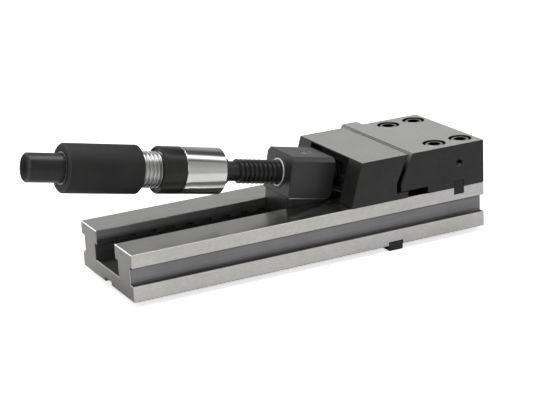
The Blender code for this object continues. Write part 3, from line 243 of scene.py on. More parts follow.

# milled grooves and the channel; painted shade makes the channel darker towards the nut, along its wall's
# lower band, under the ledges and over the notches and the undercut's wall
grooveLook = dict(groundLook, dark=(0.21, 0.205, 0.205), light=(0.27, 0.265, 0.265), roughness=0.45,
                  grainColour=(0.12, 0.12, 0.12), grainStretch=(0.03, 1, 2.4))
# painted shadow: a dark line at the top of the side groove, under its roof
grooveShadowLineLook = dict(grooveLook, dark=(0.06, 0.06, 0.06), light=(0.09, 0.09, 0.09))
channelLook = dict(grooveLook, dark=(0.23, 0.23, 0.23), light=(0.28, 0.28, 0.28), roughness=0.5, metallic=0.2)
channelShadeLook = dict(channelLook, dark=(0.075, 0.075, 0.075), light=(0.10, 0.10, 0.10))
undercutShadeLook = dict(channelLook, dark=(0.035, 0.036, 0.036), light=(0.06, 0.06, 0.06))
lowWallShadeLook = dict(channelLook, dark=(0.026, 0.026, 0.026), light=(0.034, 0.034, 0.034), metallic=0.0)
notchShadeLook = dict(lowWallShadeLook, dark=(0.09, 0.09, 0.09), light=(0.11, 0.11, 0.11))

# black oxide and what is made of it
oxideLook = {"dark": (0.012, 0.012, 0.012), "light": (0.020, 0.020, 0.019),
             "grainColour": (0.045, 0.045, 0.042), "grainTone": 0.08, "grainScale": 420,
             "grainStretch": (0.3, 1, 1), "cloudScale": 40, "roughness": 0.24, "roughnessSpread": 0.03,
             "metallic": 0.15, "specular": 0.40, "bump": 0.006, "bumpDepth": 0.0001}
oxideTurnedLook = dict(oxideLook, roughness=0.30, specular=0.35)
keyLook = dict(oxideLook, dark=(0.018, 0.018, 0.018), light=(0.024, 0.024, 0.024), specular=0.2)
nutLook = dict(oxideLook, specular=0.65, roughness=0.36)
# painted highlight along the nut's lower edge
nutEdgeHighlightLook = dict(oxideLook, dark=(0.50, 0.50, 0.49), light=(0.60, 0.60, 0.59), roughness=0.5, metallic=0.0)
# painted shade inside the jaw's pocket, and painted light in its lower part
pocketPaintedShadeLook = dict(oxideLook, dark=(0.008, 0.008, 0.008), light=(0.014, 0.014, 0.014), roughness=0.6,
                  metallic=0.0)
pocketPaintedLightLook = dict(pocketPaintedShadeLook, dark=(0.07, 0.07, 0.07), light=(0.09, 0.09, 0.09))
threadLook = dict(oxideLook, dark=(0.016, 0.017, 0.016), light=(0.026, 0.027, 0.026), roughness=0.34)
sleeveLook = dict(oxideLook, dark=(0.013, 0.013, 0.013), grainScale=900, grainStretch=(1, 1, 1),
                  roughness=0.60, specular=0.25, metallic=0.0, bump=0.45)
# painted highlight on the grip sleeve's rear chamfer
sleeveChamferHighlightLook = dict(sleeveLook, dark=(0.025, 0.025, 0.025), light=(0.045, 0.045, 0.045), bump=0.2)
# painted highlight on the drive stub's end chamfer
stubChamferHighlightLook = dict(oxideLook, dark=(0.04, 0.04, 0.04), light=(0.06, 0.06, 0.06), metallic=0.3,
                       roughness=0.34, specular=0.3)
screwHeadLook = dict(oxideLook, dark=(0.42, 0.42, 0.41), light=(0.55, 0.55, 0.54), metallic=0.95,
                     roughness=0.34)
paleLook = dict(oxideLook, dark=(0.62, 0.62, 0.60), light=(0.74, 0.74, 0.72), grainColour=(0.5, 0.5, 0.48),
                metallic=0.3, roughness=0.45)
darkSteelLook = dict(oxideLook, dark=(0.07, 0.07, 0.07), light=(0.11, 0.11, 0.11), metallic=0.8,
                     roughness=0.38)
# painted shade: the thrust parts, retainer and its screws inside the jaw's pocket are coloured near black
gapShadeLook = dict(oxideLook, dark=(0.014, 0.014, 0.014), light=(0.020, 0.020, 0.020), metallic=0.0,
                 roughness=0.7, specular=0.05)
rubberLook = dict(oxideLook, light=(0.022, 0.022, 0.022), metallic=0.0, roughness=0.7)
dullBlackLook = dict(rubberLook, dark=(0.014, 0.014, 0.014), specular=0.1)
# painted shade: near black and without sheen inside the hexagon socket
socketShadeLook = dict(rubberLook, dark=(0.003, 0.003, 0.003), light=(0.005, 0.005, 0.005), specular=0.0)

# polished and bright steel, with the grain round the spindle
polishedLook = {"dark": (0.68, 0.68, 0.67), "light": (0.76, 0.76, 0.75), "grainColour": (0.60, 0.60, 0.59),
                "grainTone": 0.25, "grainScale": 300, "grainStretch": (3.5, 0.12, 0.12), "cloudScale": 30,
                "roughness": 0.14, "roughnessSpread": 0.03, "metallic": 1.0, "specular": 0.5, "bump": 0.06,
                "bumpDepth": 0.00005}
brightLook = dict(polishedLook, dark=(0.60, 0.60, 0.58), light=(0.70, 0.70, 0.68), roughness=0.27, bump=0.10)
# painted highlight inside the stop hole
stopGlintLook = dict(brightLook, dark=(0.50, 0.50, 0.49), light=(0.62, 0.62, 0.60), metallic=0.2, roughness=0.5)
stubSteelLook = dict(brightLook, dark=(0.19, 0.19, 0.18), light=(0.26, 0.26, 0.25), roughness=0.2)
tubeLook = dict(brightLook, dark=(0.40, 0.40, 0.39), light=(0.50, 0.50, 0.48), roughness=0.32)
bronzeLook = dict(brightLook, dark=(0.20, 0.14, 0.07), light=(0.28, 0.20, 0.10),
                  grainColour=(0.16, 0.11, 0.05))

# where each look of the rail begins and ends
railFinish = {"farTopReflection": (0.01, 0.02), "side": (0.0619, 0.0622), "grooveWall": (0.05570, 0.05575),
              "groove": (0.01535, 0.03295), "grooveShadowLine": (0.0302, 0.0331), "channelWall": (0.0293, 0.0294),
              "channel": (0.01535, 0.0462), "deep": (-0.16, -0.04), "lowWallShade": (0.0366, 0.0412),
              "notchShade": (0.0293, 0.05), "notchHeight": (0.01535, 0.0412), "notchFade": (-0.190, -0.180),
              "ledge": (0.0318, 0.0322), "end": (0.1928, 0.1929), "edgeHeight": (0.0456, 0.0458),
              "edgeEnd": (0.19235, 0.1925)}


def fromMiddle(tree, axis):
    # the same on both sides of the rail's middle
    return calculate(tree, "ABSOLUTE", splitCoordinates(tree)[axis])


# painted reflection over the rail's far half
def farTopReflection(tree):
    return ramp(tree, splitCoordinates(tree)[1], *railFinish["farTopReflection"])


def side(tree):
    return ramp(tree, fromMiddle(tree, 1), *railFinish["side"])


def groove(tree, height="groove"):
    return overlap(tree, insideRange(tree, splitCoordinates(tree)[2], *railFinish[height]),
                   ramp(tree, fromMiddle(tree, 1), *railFinish["grooveWall"]))


# painted shadow line under the side groove's roof
def grooveShadowLine(tree):
    return groove(tree, "grooveShadowLine")


def channel(tree):
    return overlap(tree, insideRange(tree, splitCoordinates(tree)[2], *railFinish["channel"]),
                   ramp(tree, fromMiddle(tree, 1), *railFinish["channelWall"], 1, 0))


# painted shade in the channel towards the nut
def channelShadeTowardNut(tree):
    return overlap(tree, channel(tree), ramp(tree, splitCoordinates(tree)[0], *railFinish["deep"]))


# painted shade along the channel wall's lower band
def lowWallShade(tree):
    return overlap(tree, channel(tree), ramp(tree, splitCoordinates(tree)[2], *railFinish["lowWallShade"], 1, 0))


# painted shade over the notches and the undercut's wall, fading in near the rail's end
def notchShade(tree):
    x, y, z = splitCoordinates(tree)
    return overlap(tree, insideRange(tree, fromMiddle(tree, 1), *railFinish["notchShade"]),
                   ramp(tree, x, *railFinish["notchFade"]), insideRange(tree, z, *railFinish["notchHeight"]))


# painted shade under the ledges
def undercutShade(tree):
    return overlap(tree, channel(tree), ramp(tree, splitCoordinates(tree)[2], *railFinish["ledge"], 1, 0))


def railEnd(tree):
    return ramp(tree, fromMiddle(tree, 0), *railFinish["end"])


# painted highlight on the end edges of the rail's tops
def railEdgeHighlight(tree):
    return overlap(tree, ramp(tree, splitCoordinates(tree)[2], *railFinish["edgeHeight"]),
                   ramp(tree, fromMiddle(tree, 0), *railFinish["edgeEnd"]))


# jaws: ground tops and wedge face; painted shade in the pocket above the nut and painted light lower down; a
# slanted plane is where it stands, how high there, its lean
jawFinish = {"topSkin": (0.0903, 0.0905), "wedge": (0.09598, 0.062, math.radians(24.8)), "wedgeShare": 0.25,
             "wedgeSkin": (0.00005, 0.0002), "wedgeFade": (0.0745, 0.0875),
             "front": (0.05215, 0.0905, math.radians(17)), "frontSkin": (0.0003, 0.0006),
             "pocketEnd": (0.085, 0.086), "pocketSide": (0.0382, 0.0384), "pocketShade": (0.070, 0.084)}


def behindPlane(tree, start, height, lean):
    x, y, z = splitCoordinates(tree)
    across = calculate(tree, "MULTIPLY", calculate(tree, "SUBTRACT", x, start), math.cos(lean))
    rise = calculate(tree, "MULTIPLY", calculate(tree, "SUBTRACT", z, height), math.sin(lean))
    return calculate(tree, "SUBTRACT", across, rise)


def jawTop(tree):
    return ramp(tree, splitCoordinates(tree)[2], *jawFinish["topSkin"])


def wedgeFace(tree):
    away = calculate(tree, "ABSOLUTE", behindPlane(tree, *jawFinish["wedge"]))
    return overlap(tree, ramp(tree, away, *jawFinish["wedgeSkin"], jawFinish["wedgeShare"], 0),
                   ramp(tree, splitCoordinates(tree)[2], *jawFinish["wedgeFade"]))


def pocketInside(tree):
    return overlap(tree, ramp(tree, behindPlane(tree, *jawFinish["front"]), *jawFinish["frontSkin"]),
                   ramp(tree, splitCoordinates(tree)[0], *jawFinish["pocketEnd"], 1, 0),
                   ramp(tree, fromMiddle(tree, 1), *jawFinish["pocketSide"], 1, 0))


def pocketBelow(tree):
    return overlap(tree, pocketInside(tree),
                   ramp(tree, splitCoordinates(tree)[2], *jawFinish["pocketShade"], 1, 0))


# stop hole in the fixed jaw's near side, with a painted highlight on the lower side of its bore
stopFinish = {"x": 0.16365, "z": 0.0712, "rim": (0.0038, 0.0040), "depth": (-0.0621, -0.040),
              "low": (-0.0024, -0.0012)}


def stopHoleGlint(tree):
    x, y, z = splitCoordinates(tree)
    across = calculate(tree, "SUBTRACT", x, stopFinish["x"])
    up = calculate(tree, "SUBTRACT", z, stopFinish["z"])
    return overlap(tree, ramp(tree, reachFrom(tree, across, up), *stopFinish["rim"], 1, 0),
                   ramp(tree, up, *stopFinish["low"], 1, 0), insideRange(tree, y, *stopFinish["depth"]))


# nut, in the spindle's own frame: painted reflection on its top recess, and a painted highlight along its
# lower edge that fades along its side
nutFinish = {"station": 0.0266, "recessRim": (0.0073, 0.0078), "recessFloor": (0.0180, 0.0181),
             "edge": (0.0466, 0.0467), "edgeFade": (0.004, 0.036), "edgeEnd": 0.15,
             "stemTop": (-0.0211, -0.0209)}


def nutRecessReflection(tree):
    x, y, z = splitCoordinates(tree, True)
    along = calculate(tree, "SUBTRACT", x, nutFinish["station"])
    return overlap(tree, ramp(tree, reachFrom(tree, along, y), *nutFinish["recessRim"], 1, 0),
                   ramp(tree, z, *nutFinish["recessFloor"]))


def nutEdgeHighlight(tree):
    x, y, z = splitCoordinates(tree, True)
    corner = calculate(tree, "SUBTRACT", calculate(tree, "ABSOLUTE", y), z)
    return overlap(tree, ramp(tree, corner, *nutFinish["edge"]), ramp(tree, z, *nutFinish["stemTop"]),
                   ramp(tree, x, *nutFinish["edgeFade"], 1, nutFinish["edgeEnd"]))


materials = {
    "rail": makeFinish("groundRail", groundLook, (
        (farTopReflection, farTopReflectionLook), (side, sideLook), (groove, grooveLook), (grooveShadowLine, grooveShadowLineLook),
        (channel, channelLook), (channelShadeTowardNut, channelShadeLook), (lowWallShade, lowWallShadeLook), (notchShade, notchShadeLook),
        (undercutShade, undercutShadeLook), (railEnd, endLook), (railEdgeHighlight, edgeHighlightLook))),
    "jaw": makeFinish("oxideJaw", oxideLook, (
        (pocketInside, pocketPaintedShadeLook), (pocketBelow, pocketPaintedLightLook), (jawTop, jawTopLook))),
    "fixedJaw": makeFinish("oxideFixedJaw", oxideLook, ((stopHoleGlint, stopGlintLook), (jawTop, fixedTopLook))),
    "insert": makeFinish("oxideInsert", oxideLook, ((wedgeFace, fixedTopLook), (jawTop, fixedTopLook))),
    "nut": makeFinish("nutOxide", nutLook, ((nutRecessReflection, recessReflectionLook), (nutEdgeHighlight, nutEdgeHighlightLook)), True),
    "oxide": makeFinish("blackOxide", oxideLook),
    "keyBlack": makeFinish("keyBlack", keyLook),
    "screwHead": makeFinish("screwHead", screwHeadLook),
    "darkSteel": makeFinish("darkSteel", darkSteelLook),
    "gapShade": makeFinish("gapShadeSteel", gapShadeLook),
}
turnedLooks = {
    "oxideTurned": ("blackOxideTurned", oxideTurnedLook),
    "dullBlack": ("dullBlack", dullBlackLook),
    "stubChamferHighlight": ("stubChamferHighlight", stubChamferHighlightLook),
    "socket": ("socketShade", socketShadeLook),
    "sleeve": ("pebbledSleeve", sleeveLook),
    "sleeveChamferHighlight": ("sleeveChamferHighlight", sleeveChamferHighlightLook),
    "thread": ("darkThread", threadLook),
    "polished": ("polishedCylinder", polishedLook),
    "bright": ("brightSteel", brightLook),
    "stubSteel": ("stubSteel", stubSteelLook),
    "tube": ("rolledThread", tubeLook),
    "pale": ("paleRing", paleLook),
    "bronze": ("bearingBronze", bronzeLook),
    "rubber": ("sealRubber", rubberLook),
}
for key, (name, look) in turnedLooks.items():
    materials[key] = makeFinish(name, look, (), True)

# each node's finish and its slot; the other screws are black, all other nodes bright
nodeFinish = {
    "base_rail": ("rail", "ground_steel"),
    "fixed_jaw": ("fixedJaw", "black_oxide"),
    "movable_jaw": ("jaw", "black_oxide"),
    "pulldown_insert": ("insert", "black_oxide"),
    "fixed_jaw_key": ("keyBlack", "black_oxide"),
    "table_key_near": ("oxide", "black_oxide"),
    "table_key_far": ("oxide", "black_oxide"),
    "nut_block": ("nut", "black_oxide"),
    "nut_bush": ("darkSteel", "dark_steel"),
    "nut_lock_screw": ("screwHead", "black_oxide"),
    "jaw_keeper": ("darkSteel", "dark_steel"),
    # painted shade on the parts inside the jaw's pocket
    "thrust_cup": ("gapShade", "bright_steel"),
    "thrust_seat": ("gapShade", "bright_steel"),
    "thrust_retainer": ("gapShade", "dark_steel"),
    "thrust_washer": ("bronze", "bronze"),
    "retainer_screw_near": ("gapShade", "black_oxide"),
    "retainer_screw_far": ("gapShade", "black_oxide"),
    "spindle_screw": ("thread", "dark_steel"),
    "power_screw": ("darkSteel", "dark_steel"),
    "cylinder_body": ("polished", "polished_steel"),
    "cylinder_ring": ("oxideTurned", "black_oxide"),
    "grip_sleeve": ("sleeve", "black_oxide"),
    "drive_stub": ("oxideTurned", "black_oxide"),
    "clutch_spring_1": ("darkSteel", "dark_steel"),
    "clutch_spring_2": ("darkSteel", "dark_steel"),
    "piston_seal": ("rubber", "rubber"),
    "plunger_seal": ("rubber", "rubber"),
}
for name, node in nodes.items():
    plainFinish = ("oxide", "black_oxide") if "screw" in name else ("bright", "bright_steel")
    look, slotName = nodeFinish.get(name, plainFinish)
    node.data.materials.clear()
    node.data.materials.append(materials[look])
print("finishes on", len(nodes), "nodes")


# merging distances and edge angles that every piece shares
meshLimits = {"merge": 0.000001, "threadMerge": 0.000005, "pieceMerge": 0.0000005, "cut": 0.0000001,
              "rim": 0.00001, "softAngle": math.radians(25), "sharpAngle": 35}


# a turned piece is spun about x, and laid along the spindle when it is finished
def turned(profile, steps, hollow=False):
    bm = bmesh.new()
    points = [bm.verts.new((x, 0, radius)) for x, radius in profile]
    pairs = list(zip(points, points[1:]))
    if hollow:
        pairs.append((points[-1], points[0]))
    edges = [bm.edges.new(pair) for pair in pairs]
    bmesh.ops.spin(bm, geom=points + edges, cent=(0, 0, 0), axis=(1, 0, 0), angle=math.tau, steps=steps,
                   use_merge=True)
    bmesh.ops.remove_doubles(bm, verts=bm.verts, dist=meshLimits["merge"])
    return bm


def soften(bm, width, segments=3):
    sharp = [e for e in bm.edges if len(e.link_faces) == 2 and e.calc_face_angle(0) > meshLimits["softAngle"]]
    bmesh.ops.bevel(bm, geom=sharp, offset=width, offset_type="OFFSET", affect="EDGES", segments=segments,
                    profile=0.5, material=-1, clamp_overlap=True)


def rimAt(bm, x):
    near = meshLimits["rim"]
    return [e for e in bm.edges if e.is_boundary and all(abs(v.co.x - x) < near for v in e.verts)]


def edgesOf(verts):
    return list({e for v in verts for e in v.link_edges})


def hexRadius(across):
    return across / 2 / math.cos(math.pi / 6)


def circleAt(bm, x, radius, segments):
    made = bmesh.ops.create_circle(bm, cap_ends=False, radius=radius, segments=segments,
                                   matrix=Matrix.Translation((x, 0, 0)) @ quarterTurn)
    return edgesOf(made["verts"])


def hexSocket(bm, x, across, depth, steps):
    # as many edges round the hexagon as round the rim, so that the two bridge evenly
    rim = rimAt(bm, x)
    sides = circleAt(bm, x, hexRadius(across), 6)
    cut = bmesh.ops.subdivide_edges(bm, edges=sides, cuts=steps // 6 - 1)
    hexagon = edgesOf(g for g in cut["geom"] if isinstance(g, bmesh.types.BMVert))
    bmesh.ops.bridge_loops(bm, edges=rim + hexagon)
    wall = bmesh.ops.extrude_edge_only(bm, edges=hexagon)["geom"]
    low = [g for g in wall if isinstance(g, bmesh.types.BMVert)]
    bmesh.ops.translate(bm, verts=low, vec=(depth, 0, 0))
    floor = [g for g in wall if isinstance(g, bmesh.types.BMEdge) and g.is_boundary]
    bmesh.ops.holes_fill(bm, edges=floor, sides=0)


def threadShell(shape, start, end, core):
    # the profile climbs one pitch in a full turn, then both ends are cut square and closed down to the core
    bm = bmesh.new()
    rows = int((end - start) / shape["pitch"]) + 3
    points = []
    for row in range(rows):
        for share, drop in shape["profile"]:
            x = start + (row - 1 + share) * shape["pitch"]
            points.append(bm.verts.new((x, 0, shape["crest"] - drop)))
    edges = [bm.edges.new(pair) for pair in zip(points, points[1:])]
    steps = shape["steps"]
    bmesh.ops.spin(bm, geom=points + edges, cent=(0, 0, 0), axis=(1, 0, 0),
                   dvec=(shape["pitch"] / steps, 0, 0), angle=math.tau, steps=steps, use_merge=False)
    bmesh.ops.remove_doubles(bm, verts=bm.verts, dist=meshLimits["threadMerge"])
    for x, way in ((start, -1), (end, 1)):
        bmesh.ops.bisect_plane(bm, geom=bm.verts[:] + bm.edges[:] + bm.faces[:], dist=meshLimits["cut"],
                               plane_co=(x, 0, 0), plane_no=(way, 0, 0), clear_outer=True)
    cores = []
    for x in (start, end):
        rim = rimAt(bm, x)
        circle = circleAt(bm, x, core, steps)
        bmesh.ops.bridge_loops(bm, edges=rim + circle)
        cores += circle
    bmesh.ops.bridge_loops(bm, edges=cores)
    return bm


def joinInto(target, extra):
    mesh = bpy.data.meshes.new("part")
    extra.to_mesh(mesh)
    extra.free()
    target.from_mesh(mesh)
    bpy.data.meshes.remove(mesh)


def finishPiece(name, bm, place, looks, node, sharp=meshLimits["sharpAngle"], replace=True):
    bmesh.ops.remove_doubles(bm, verts=bm.verts, dist=meshLimits["pieceMerge"])
    bmesh.ops.recalc_face_normals(bm, faces=bm.faces)
    for face in bm.faces:
        face.smooth = True
    for edge in bm.edges:
        edge.smooth = edge.calc_face_angle(0) < math.radians(sharp)
    bmesh.ops.transform(bm, matrix=place, verts=bm.verts)
    mesh = bpy.data.meshes.new(name)
    bm.to_mesh(mesh)
    bm.free()
    for look in looks:
        mesh.materials.append(materials[look])
    piece = bpy.data.objects.new(name, mesh)
    bpy.context.scene.collection.objects.link(piece)
    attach(piece, body_of(nodes[node])[0])
    if replace:
        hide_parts(node)
    return piece


# how far paint goes past an end face, and along and inward from a chamfer as a share of it
paintReach = {"skin": 0.0001, "along": 1.1, "inward": 1.15}


def paintSpan(bm, low, high, inner=0.0, outer=1.0, look=1):
    # look is the place in the piece's own list of finishes
    for face in bm.faces:
        centre = face.calc_center_median()
        if low < centre.x < high and inner < math.hypot(centre.y, centre.z) < outer:
            face.material_index = look


# threaded spindle
# a thread's profile: share of the pitch, depth below the crest; two numbers are an end and a radius
spindleShape = {"pitch": 0.005, "crest": 0.012, "steps": 64, "start": -0.0469, "end": 0.0605, "bore": 0.0053,
                "nose": (0.0665, 0.007), "neck": 0.00975, "flange": (-0.0665, -0.0588, 0.013),
                "spigot": (-0.0765, 0.011), "sunk": 0.001, "soft": 0.0004,
                "profile": ((0.0, 0.0003), (0.03, 0.0), (0.34, 0.0), (0.37, 0.0003), (0.49, 0.0024),
                            (0.52, 0.0025), (0.85, 0.0025), (0.88, 0.0024))}


def makeSpindle():
    s = spindleShape
    bm = threadShell(s, s["start"], s["end"], s["bore"])
    back, front, flange = s["flange"]
    spigotEnd, spigot = s["spigot"]
    shankEnd = s["start"] + s["sunk"]
    shank = turned([(spigotEnd, s["bore"]), (spigotEnd, spigot), (back, spigot), (back, flange),
                    (front, flange), (front, s["neck"]), (shankEnd, s["neck"]), (shankEnd, s["bore"])],
                   s["steps"], True)
    soften(shank, s["soft"])
    joinInto(bm, shank)
    noseEnd, nose = s["nose"]
    noseStart = s["end"] - s["sunk"]
    tip = turned([(noseStart, s["bore"]), (noseStart, nose), (noseEnd, nose), (noseEnd, s["bore"])],
                 s["steps"], True)
    soften(tip, s["soft"])
    joinInto(bm, tip)
    finishPiece("spindleThread", bm, spindlePlace, ["thread"], "spindle_screw")


# cylinder, with the filler screw's hole underneath
cylinderShape = {"start": -0.10855, "end": -0.0668, "radius": 0.0227, "chamfer": 0.0005, "chamber": 0.017,
                 "floor": -0.0768, "mouth": 0.0113, "steps": 128, "filler": (-0.098, 0.0028), "patch": 0.0042,
                 "fillerSteps": 32, "wallReach": 0.001, "soft": 0.00015}


def openPatch(bm, station, half):
    # takes a square out of both walls underneath
    cuts = [((station + way * half, 0, 0), (1, 0, 0)) for way in (-1, 1)]
    cuts += [((0, way * half, 0), (0, 1, 0)) for way in (-1, 1)]
    for at, side in cuts:
        under = [f for f in bm.faces if f.calc_center_median().z < 0]
        verts = list({v for f in under for v in f.verts})
        edges = list({e for f in under for e in f.edges})
        bmesh.ops.bisect_plane(bm, geom=verts + edges + under, dist=meshLimits["cut"], plane_co=at,
                               plane_no=side)
    patch = []
    for face in bm.faces:
        centre = face.calc_center_median()
        if centre.z < 0 and abs(centre.x - station) < half and abs(centre.y) < half:
            patch.append(face)
    bmesh.ops.delete(bm, geom=patch, context="FACES")


def makeCylinder():
    s = cylinderShape
    c = s["chamfer"]
    bm = turned([(s["start"], s["chamber"]), (s["start"], s["radius"] - c), (s["start"] + c, s["radius"]),
                 (s["end"] - c, s["radius"]), (s["end"], s["radius"] - c), (s["end"], s["mouth"]),
                 (s["floor"], s["mouth"]), (s["floor"], s["chamber"])], s["steps"], True)
    soften(bm, s["soft"], 2)
    station, hole = s["filler"]
    openPatch(bm, station, s["patch"])
    rims = [e for e in bm.edges if e.is_boundary]
    circles = []
    for radius in (s["chamber"], s["radius"]):
        rim = [e for e in rims if abs(math.hypot(*e.verts[0].co.yz) - radius) < s["wallReach"]]
        made = bmesh.ops.create_circle(bm, cap_ends=False, radius=hole, segments=s["fillerSteps"],
                                       matrix=Matrix.Translation((station, 0, 0)))
        for vert in made["verts"]:
            vert.co.z = -math.sqrt(radius ** 2 - vert.co.y ** 2)
        circle = edgesOf(made["verts"])
        bmesh.ops.bridge_loops(bm, edges=rim + circle)
        circles += circle
    bmesh.ops.bridge_loops(bm, edges=circles)
    finishPiece("oilCylinder", bm, spindlePlace, ["polished"], "cylinder_body")


# black ring behind the cylinder
ringShape = {"start": -0.1322, "end": -0.10885, "radius": 0.0228, "bore": 0.0178, "recess": 0.0025,
             "lip": 0.003, "chamfer": 0.0012, "frontChamfer": 0.0004, "steps": 128, "soft": 0.00015}


def makeRing():
    s = ringShape
    c = s["chamfer"]
    f = s["frontChamfer"]
    bm = turned([(s["start"] + s["recess"], s["bore"]), (s["start"] + s["recess"], s["radius"] - s["lip"]),
                 (s["start"], s["radius"] - s["lip"] + c), (s["start"], s["radius"] - c),
                 (s["start"] + c, s["radius"]), (s["end"] - f, s["radius"]), (s["end"], s["radius"] - f),
                 (s["end"], s["bore"])], s["steps"], True)
    soften(bm, s["soft"])
    finishPiece("cylinderRing", bm, spindlePlace, ["oxideTurned"], "cylinder_ring")


# tube with its coarse rolled thread, and a plain core inside the thread
tubeShape = {"pitch": 0.004, "crest": 0.0175, "steps": 96, "back": -0.2021, "front": -0.100, "bore": 0.0093,
             "thread": (-0.1585, -0.1275), "spigot": (-0.109, 0.0167), "core": 0.0158, "sunk": 0.001,
             "coreRise": 0.0002, "soft": 0.0003,
             "profile": ((0.0, 0.0013), (0.06, 0.0012), (0.12, 0.0008), (0.20, 0.0002), (0.30, 0.0),
                         (0.72, 0.0), (0.82, 0.0002), (0.90, 0.0008), (0.96, 0.0012))}


def makeTube():
    s = tubeShape
    back, front = s["thread"]
    bm = threadShell(s, back, front, s["core"])
    shoulder, spigot = s["spigot"]
    coreStart, coreEnd = back + s["sunk"], front - s["sunk"]
    core = s["core"] + s["coreRise"]
    body = turned([(s["back"], s["bore"]), (s["back"], s["crest"]), (coreStart, s["crest"]),
                   (coreStart, core), (coreEnd, core), (coreEnd, s["crest"]), (shoulder, s["crest"]),
                   (shoulder, spigot), (s["front"], spigot), (s["front"], s["bore"])], s["steps"], True)
    soften(body, s["soft"], 2)
    joinInto(bm, body)
    finishPiece("threadedTube", bm, spindlePlace, ["tube"], "threaded_tube")


# grip sleeve, with a painted highlight on its rear chamfer
sleeveShape = {"start": -0.2278, "end": -0.1518, "radius": 0.02335, "chamfer": 0.0018, "bore": 0.0178,
               "wall": -0.222, "stubBore": 0.0141, "pocket": (0.0158, -0.2263), "steps": 128, "soft": 0.0003}


def makeSleeve():
    s = sleeveShape
    c = s["chamfer"]
    pocket, pocketFloor = s["pocket"]
    bm = turned([(s["end"], s["bore"]), (s["end"], s["radius"] - c), (s["end"] - c, s["radius"]),
                 (s["start"] + c, s["radius"]), (s["start"], s["radius"] - c), (s["start"], pocket),
                 (pocketFloor, pocket), (pocketFloor, s["stubBore"]), (s["wall"], s["stubBore"]),
                 (s["wall"], s["bore"])], s["steps"], True)
    soften(bm, s["soft"])
    paintSpan(bm, s["start"] - paintReach["skin"], s["start"] + c * paintReach["along"],
              s["radius"] - c * paintReach["inward"])
    finishPiece("gripSleeve", bm, spindlePlace, ["sleeve", "sleeveChamferHighlight"], "grip_sleeve")


# drive stub with its hexagon socket, and the bright ring round it
stubShape = {"end": -0.2627, "radius": 0.0138, "chamfer": 0.0016, "rim": 0.0092, "across": 0.014,
             "depth": 0.016, "clutch": (-0.2163, -0.2043, 0.0175), "groove": (0.0103, 0.0159, 0.0012),
             "bore": 0.0063, "steps": 96, "soft": 0.0003, "ring": (-0.2278, -0.2266, 0.0141, 0.0155),
             "ringSoft": 0.0002}


def makeStub():
    s = stubShape
    c = s["chamfer"]
    back, front, flange = s["clutch"]
    low, high, sunk = s["groove"]
    bm = turned([(s["end"], s["rim"]), (s["end"], s["radius"] - c), (s["end"] + c, s["radius"]),
                 (back, s["radius"]), (back, flange), (front, flange), (front, high), (front - sunk, high),
                 (front - sunk, low), (front, low), (front, s["bore"]), (back, s["bore"]), (back, 0)],
                s["steps"])
    soften(bm, s["soft"])
    skin = paintReach["skin"]
    edge = s["radius"] - c * paintReach["inward"]
    # painted highlight on the end's chamfer
    paintSpan(bm, s["end"] - skin, s["end"] + c * paintReach["along"], edge)
    paintSpan(bm, s["end"] - skin, s["end"] + skin, 0, edge, 2)
    hexSocket(bm, s["end"], s["across"], s["depth"], s["steps"])
    # painted shade inside the hexagon socket
    paintSpan(bm, s["end"] + skin, s["end"] + s["depth"] + skin, 0, hexRadius(s["across"]), 3)
    looks = ["oxideTurned", "stubChamferHighlight", "dullBlack", "socket"]
    finishPiece("driveStub", bm, spindlePlace, looks, "drive_stub")
    start, end, inner, outer = s["ring"]
    bm = turned([(start, inner), (start, outer), (end, outer), (end, inner)], s["steps"], True)
    soften(bm, s["ringSoft"])
    finishPiece("stubRing", bm, spindlePlace, ["stubSteel"], "stub_ring")


# pale ring round the spindle at the nut's front
nutRingShape = {"start": -0.0013, "end": -0.0003, "inner": 0.0124, "outer": 0.0140, "steps": 96,
                "soft": 0.0003}


def makeNutRing():
    s = nutRingShape
    bm = turned([(s["start"], s["inner"]), (s["start"], s["outer"]), (s["end"], s["outer"]),
                 (s["end"], s["inner"])], s["steps"], True)
    soften(bm, s["soft"])
    finishPiece("nutRing", bm, spindlePlace, ["pale"], "nut_ring")


# front of the nut's stem, brought forward under the nut's own front: a block cut by four planes
stemShape = {"front": 0.0006, "top": -0.0193, "lean": math.radians(5.5), "side": 0.0221, "bottom": 0.0170,
             "back": -0.0020, "block": 0.2}


def makeStemFront():
    s = stemShape
    bm = bmesh.new()
    bmesh.ops.create_cube(bm, size=s["block"], matrix=Matrix.Diagonal((1, 2 * s["side"] / s["block"], 1, 1)))
    place = spindlePlace
    forward = Vector((-math.cos(s["lean"]), 0, math.sin(s["lean"])))
    cuts = ((place @ Vector((s["front"], 0, s["top"])), forward),
            (place @ Vector((0, 0, s["top"])), place.to_3x3() @ Vector((0, 0, 1))),
            (Vector((s["back"], 0, 0)), Vector((1, 0, 0))),
            (Vector((0, 0, s["bottom"])), Vector((0, 0, -1))))
    for point, outward in cuts:
        geom = bm.verts[:] + bm.edges[:] + bm.faces[:]
        bmesh.ops.bisect_plane(bm, geom=geom, plane_co=point, plane_no=outward, clear_outer=True)
        bmesh.ops.holes_fill(bm, edges=[e for e in bm.edges if e.is_boundary], sides=0)
    bmesh.ops.transform(bm, matrix=place.inverted(), verts=bm.verts)
    finishPiece("stemFront", bm, place, ["nut"], "nut_block", replace=False)


# cap screws of the fixed jaw
jawScrewShape = {"head": 0.009, "height": 0.012, "chamfer": 0.0007, "across": 0.0103, "depth": 0.0066,
                 "rim": 0.0065, "shank": 0.006, "length": 0.060, "steps": 72, "soft": 0.0002}


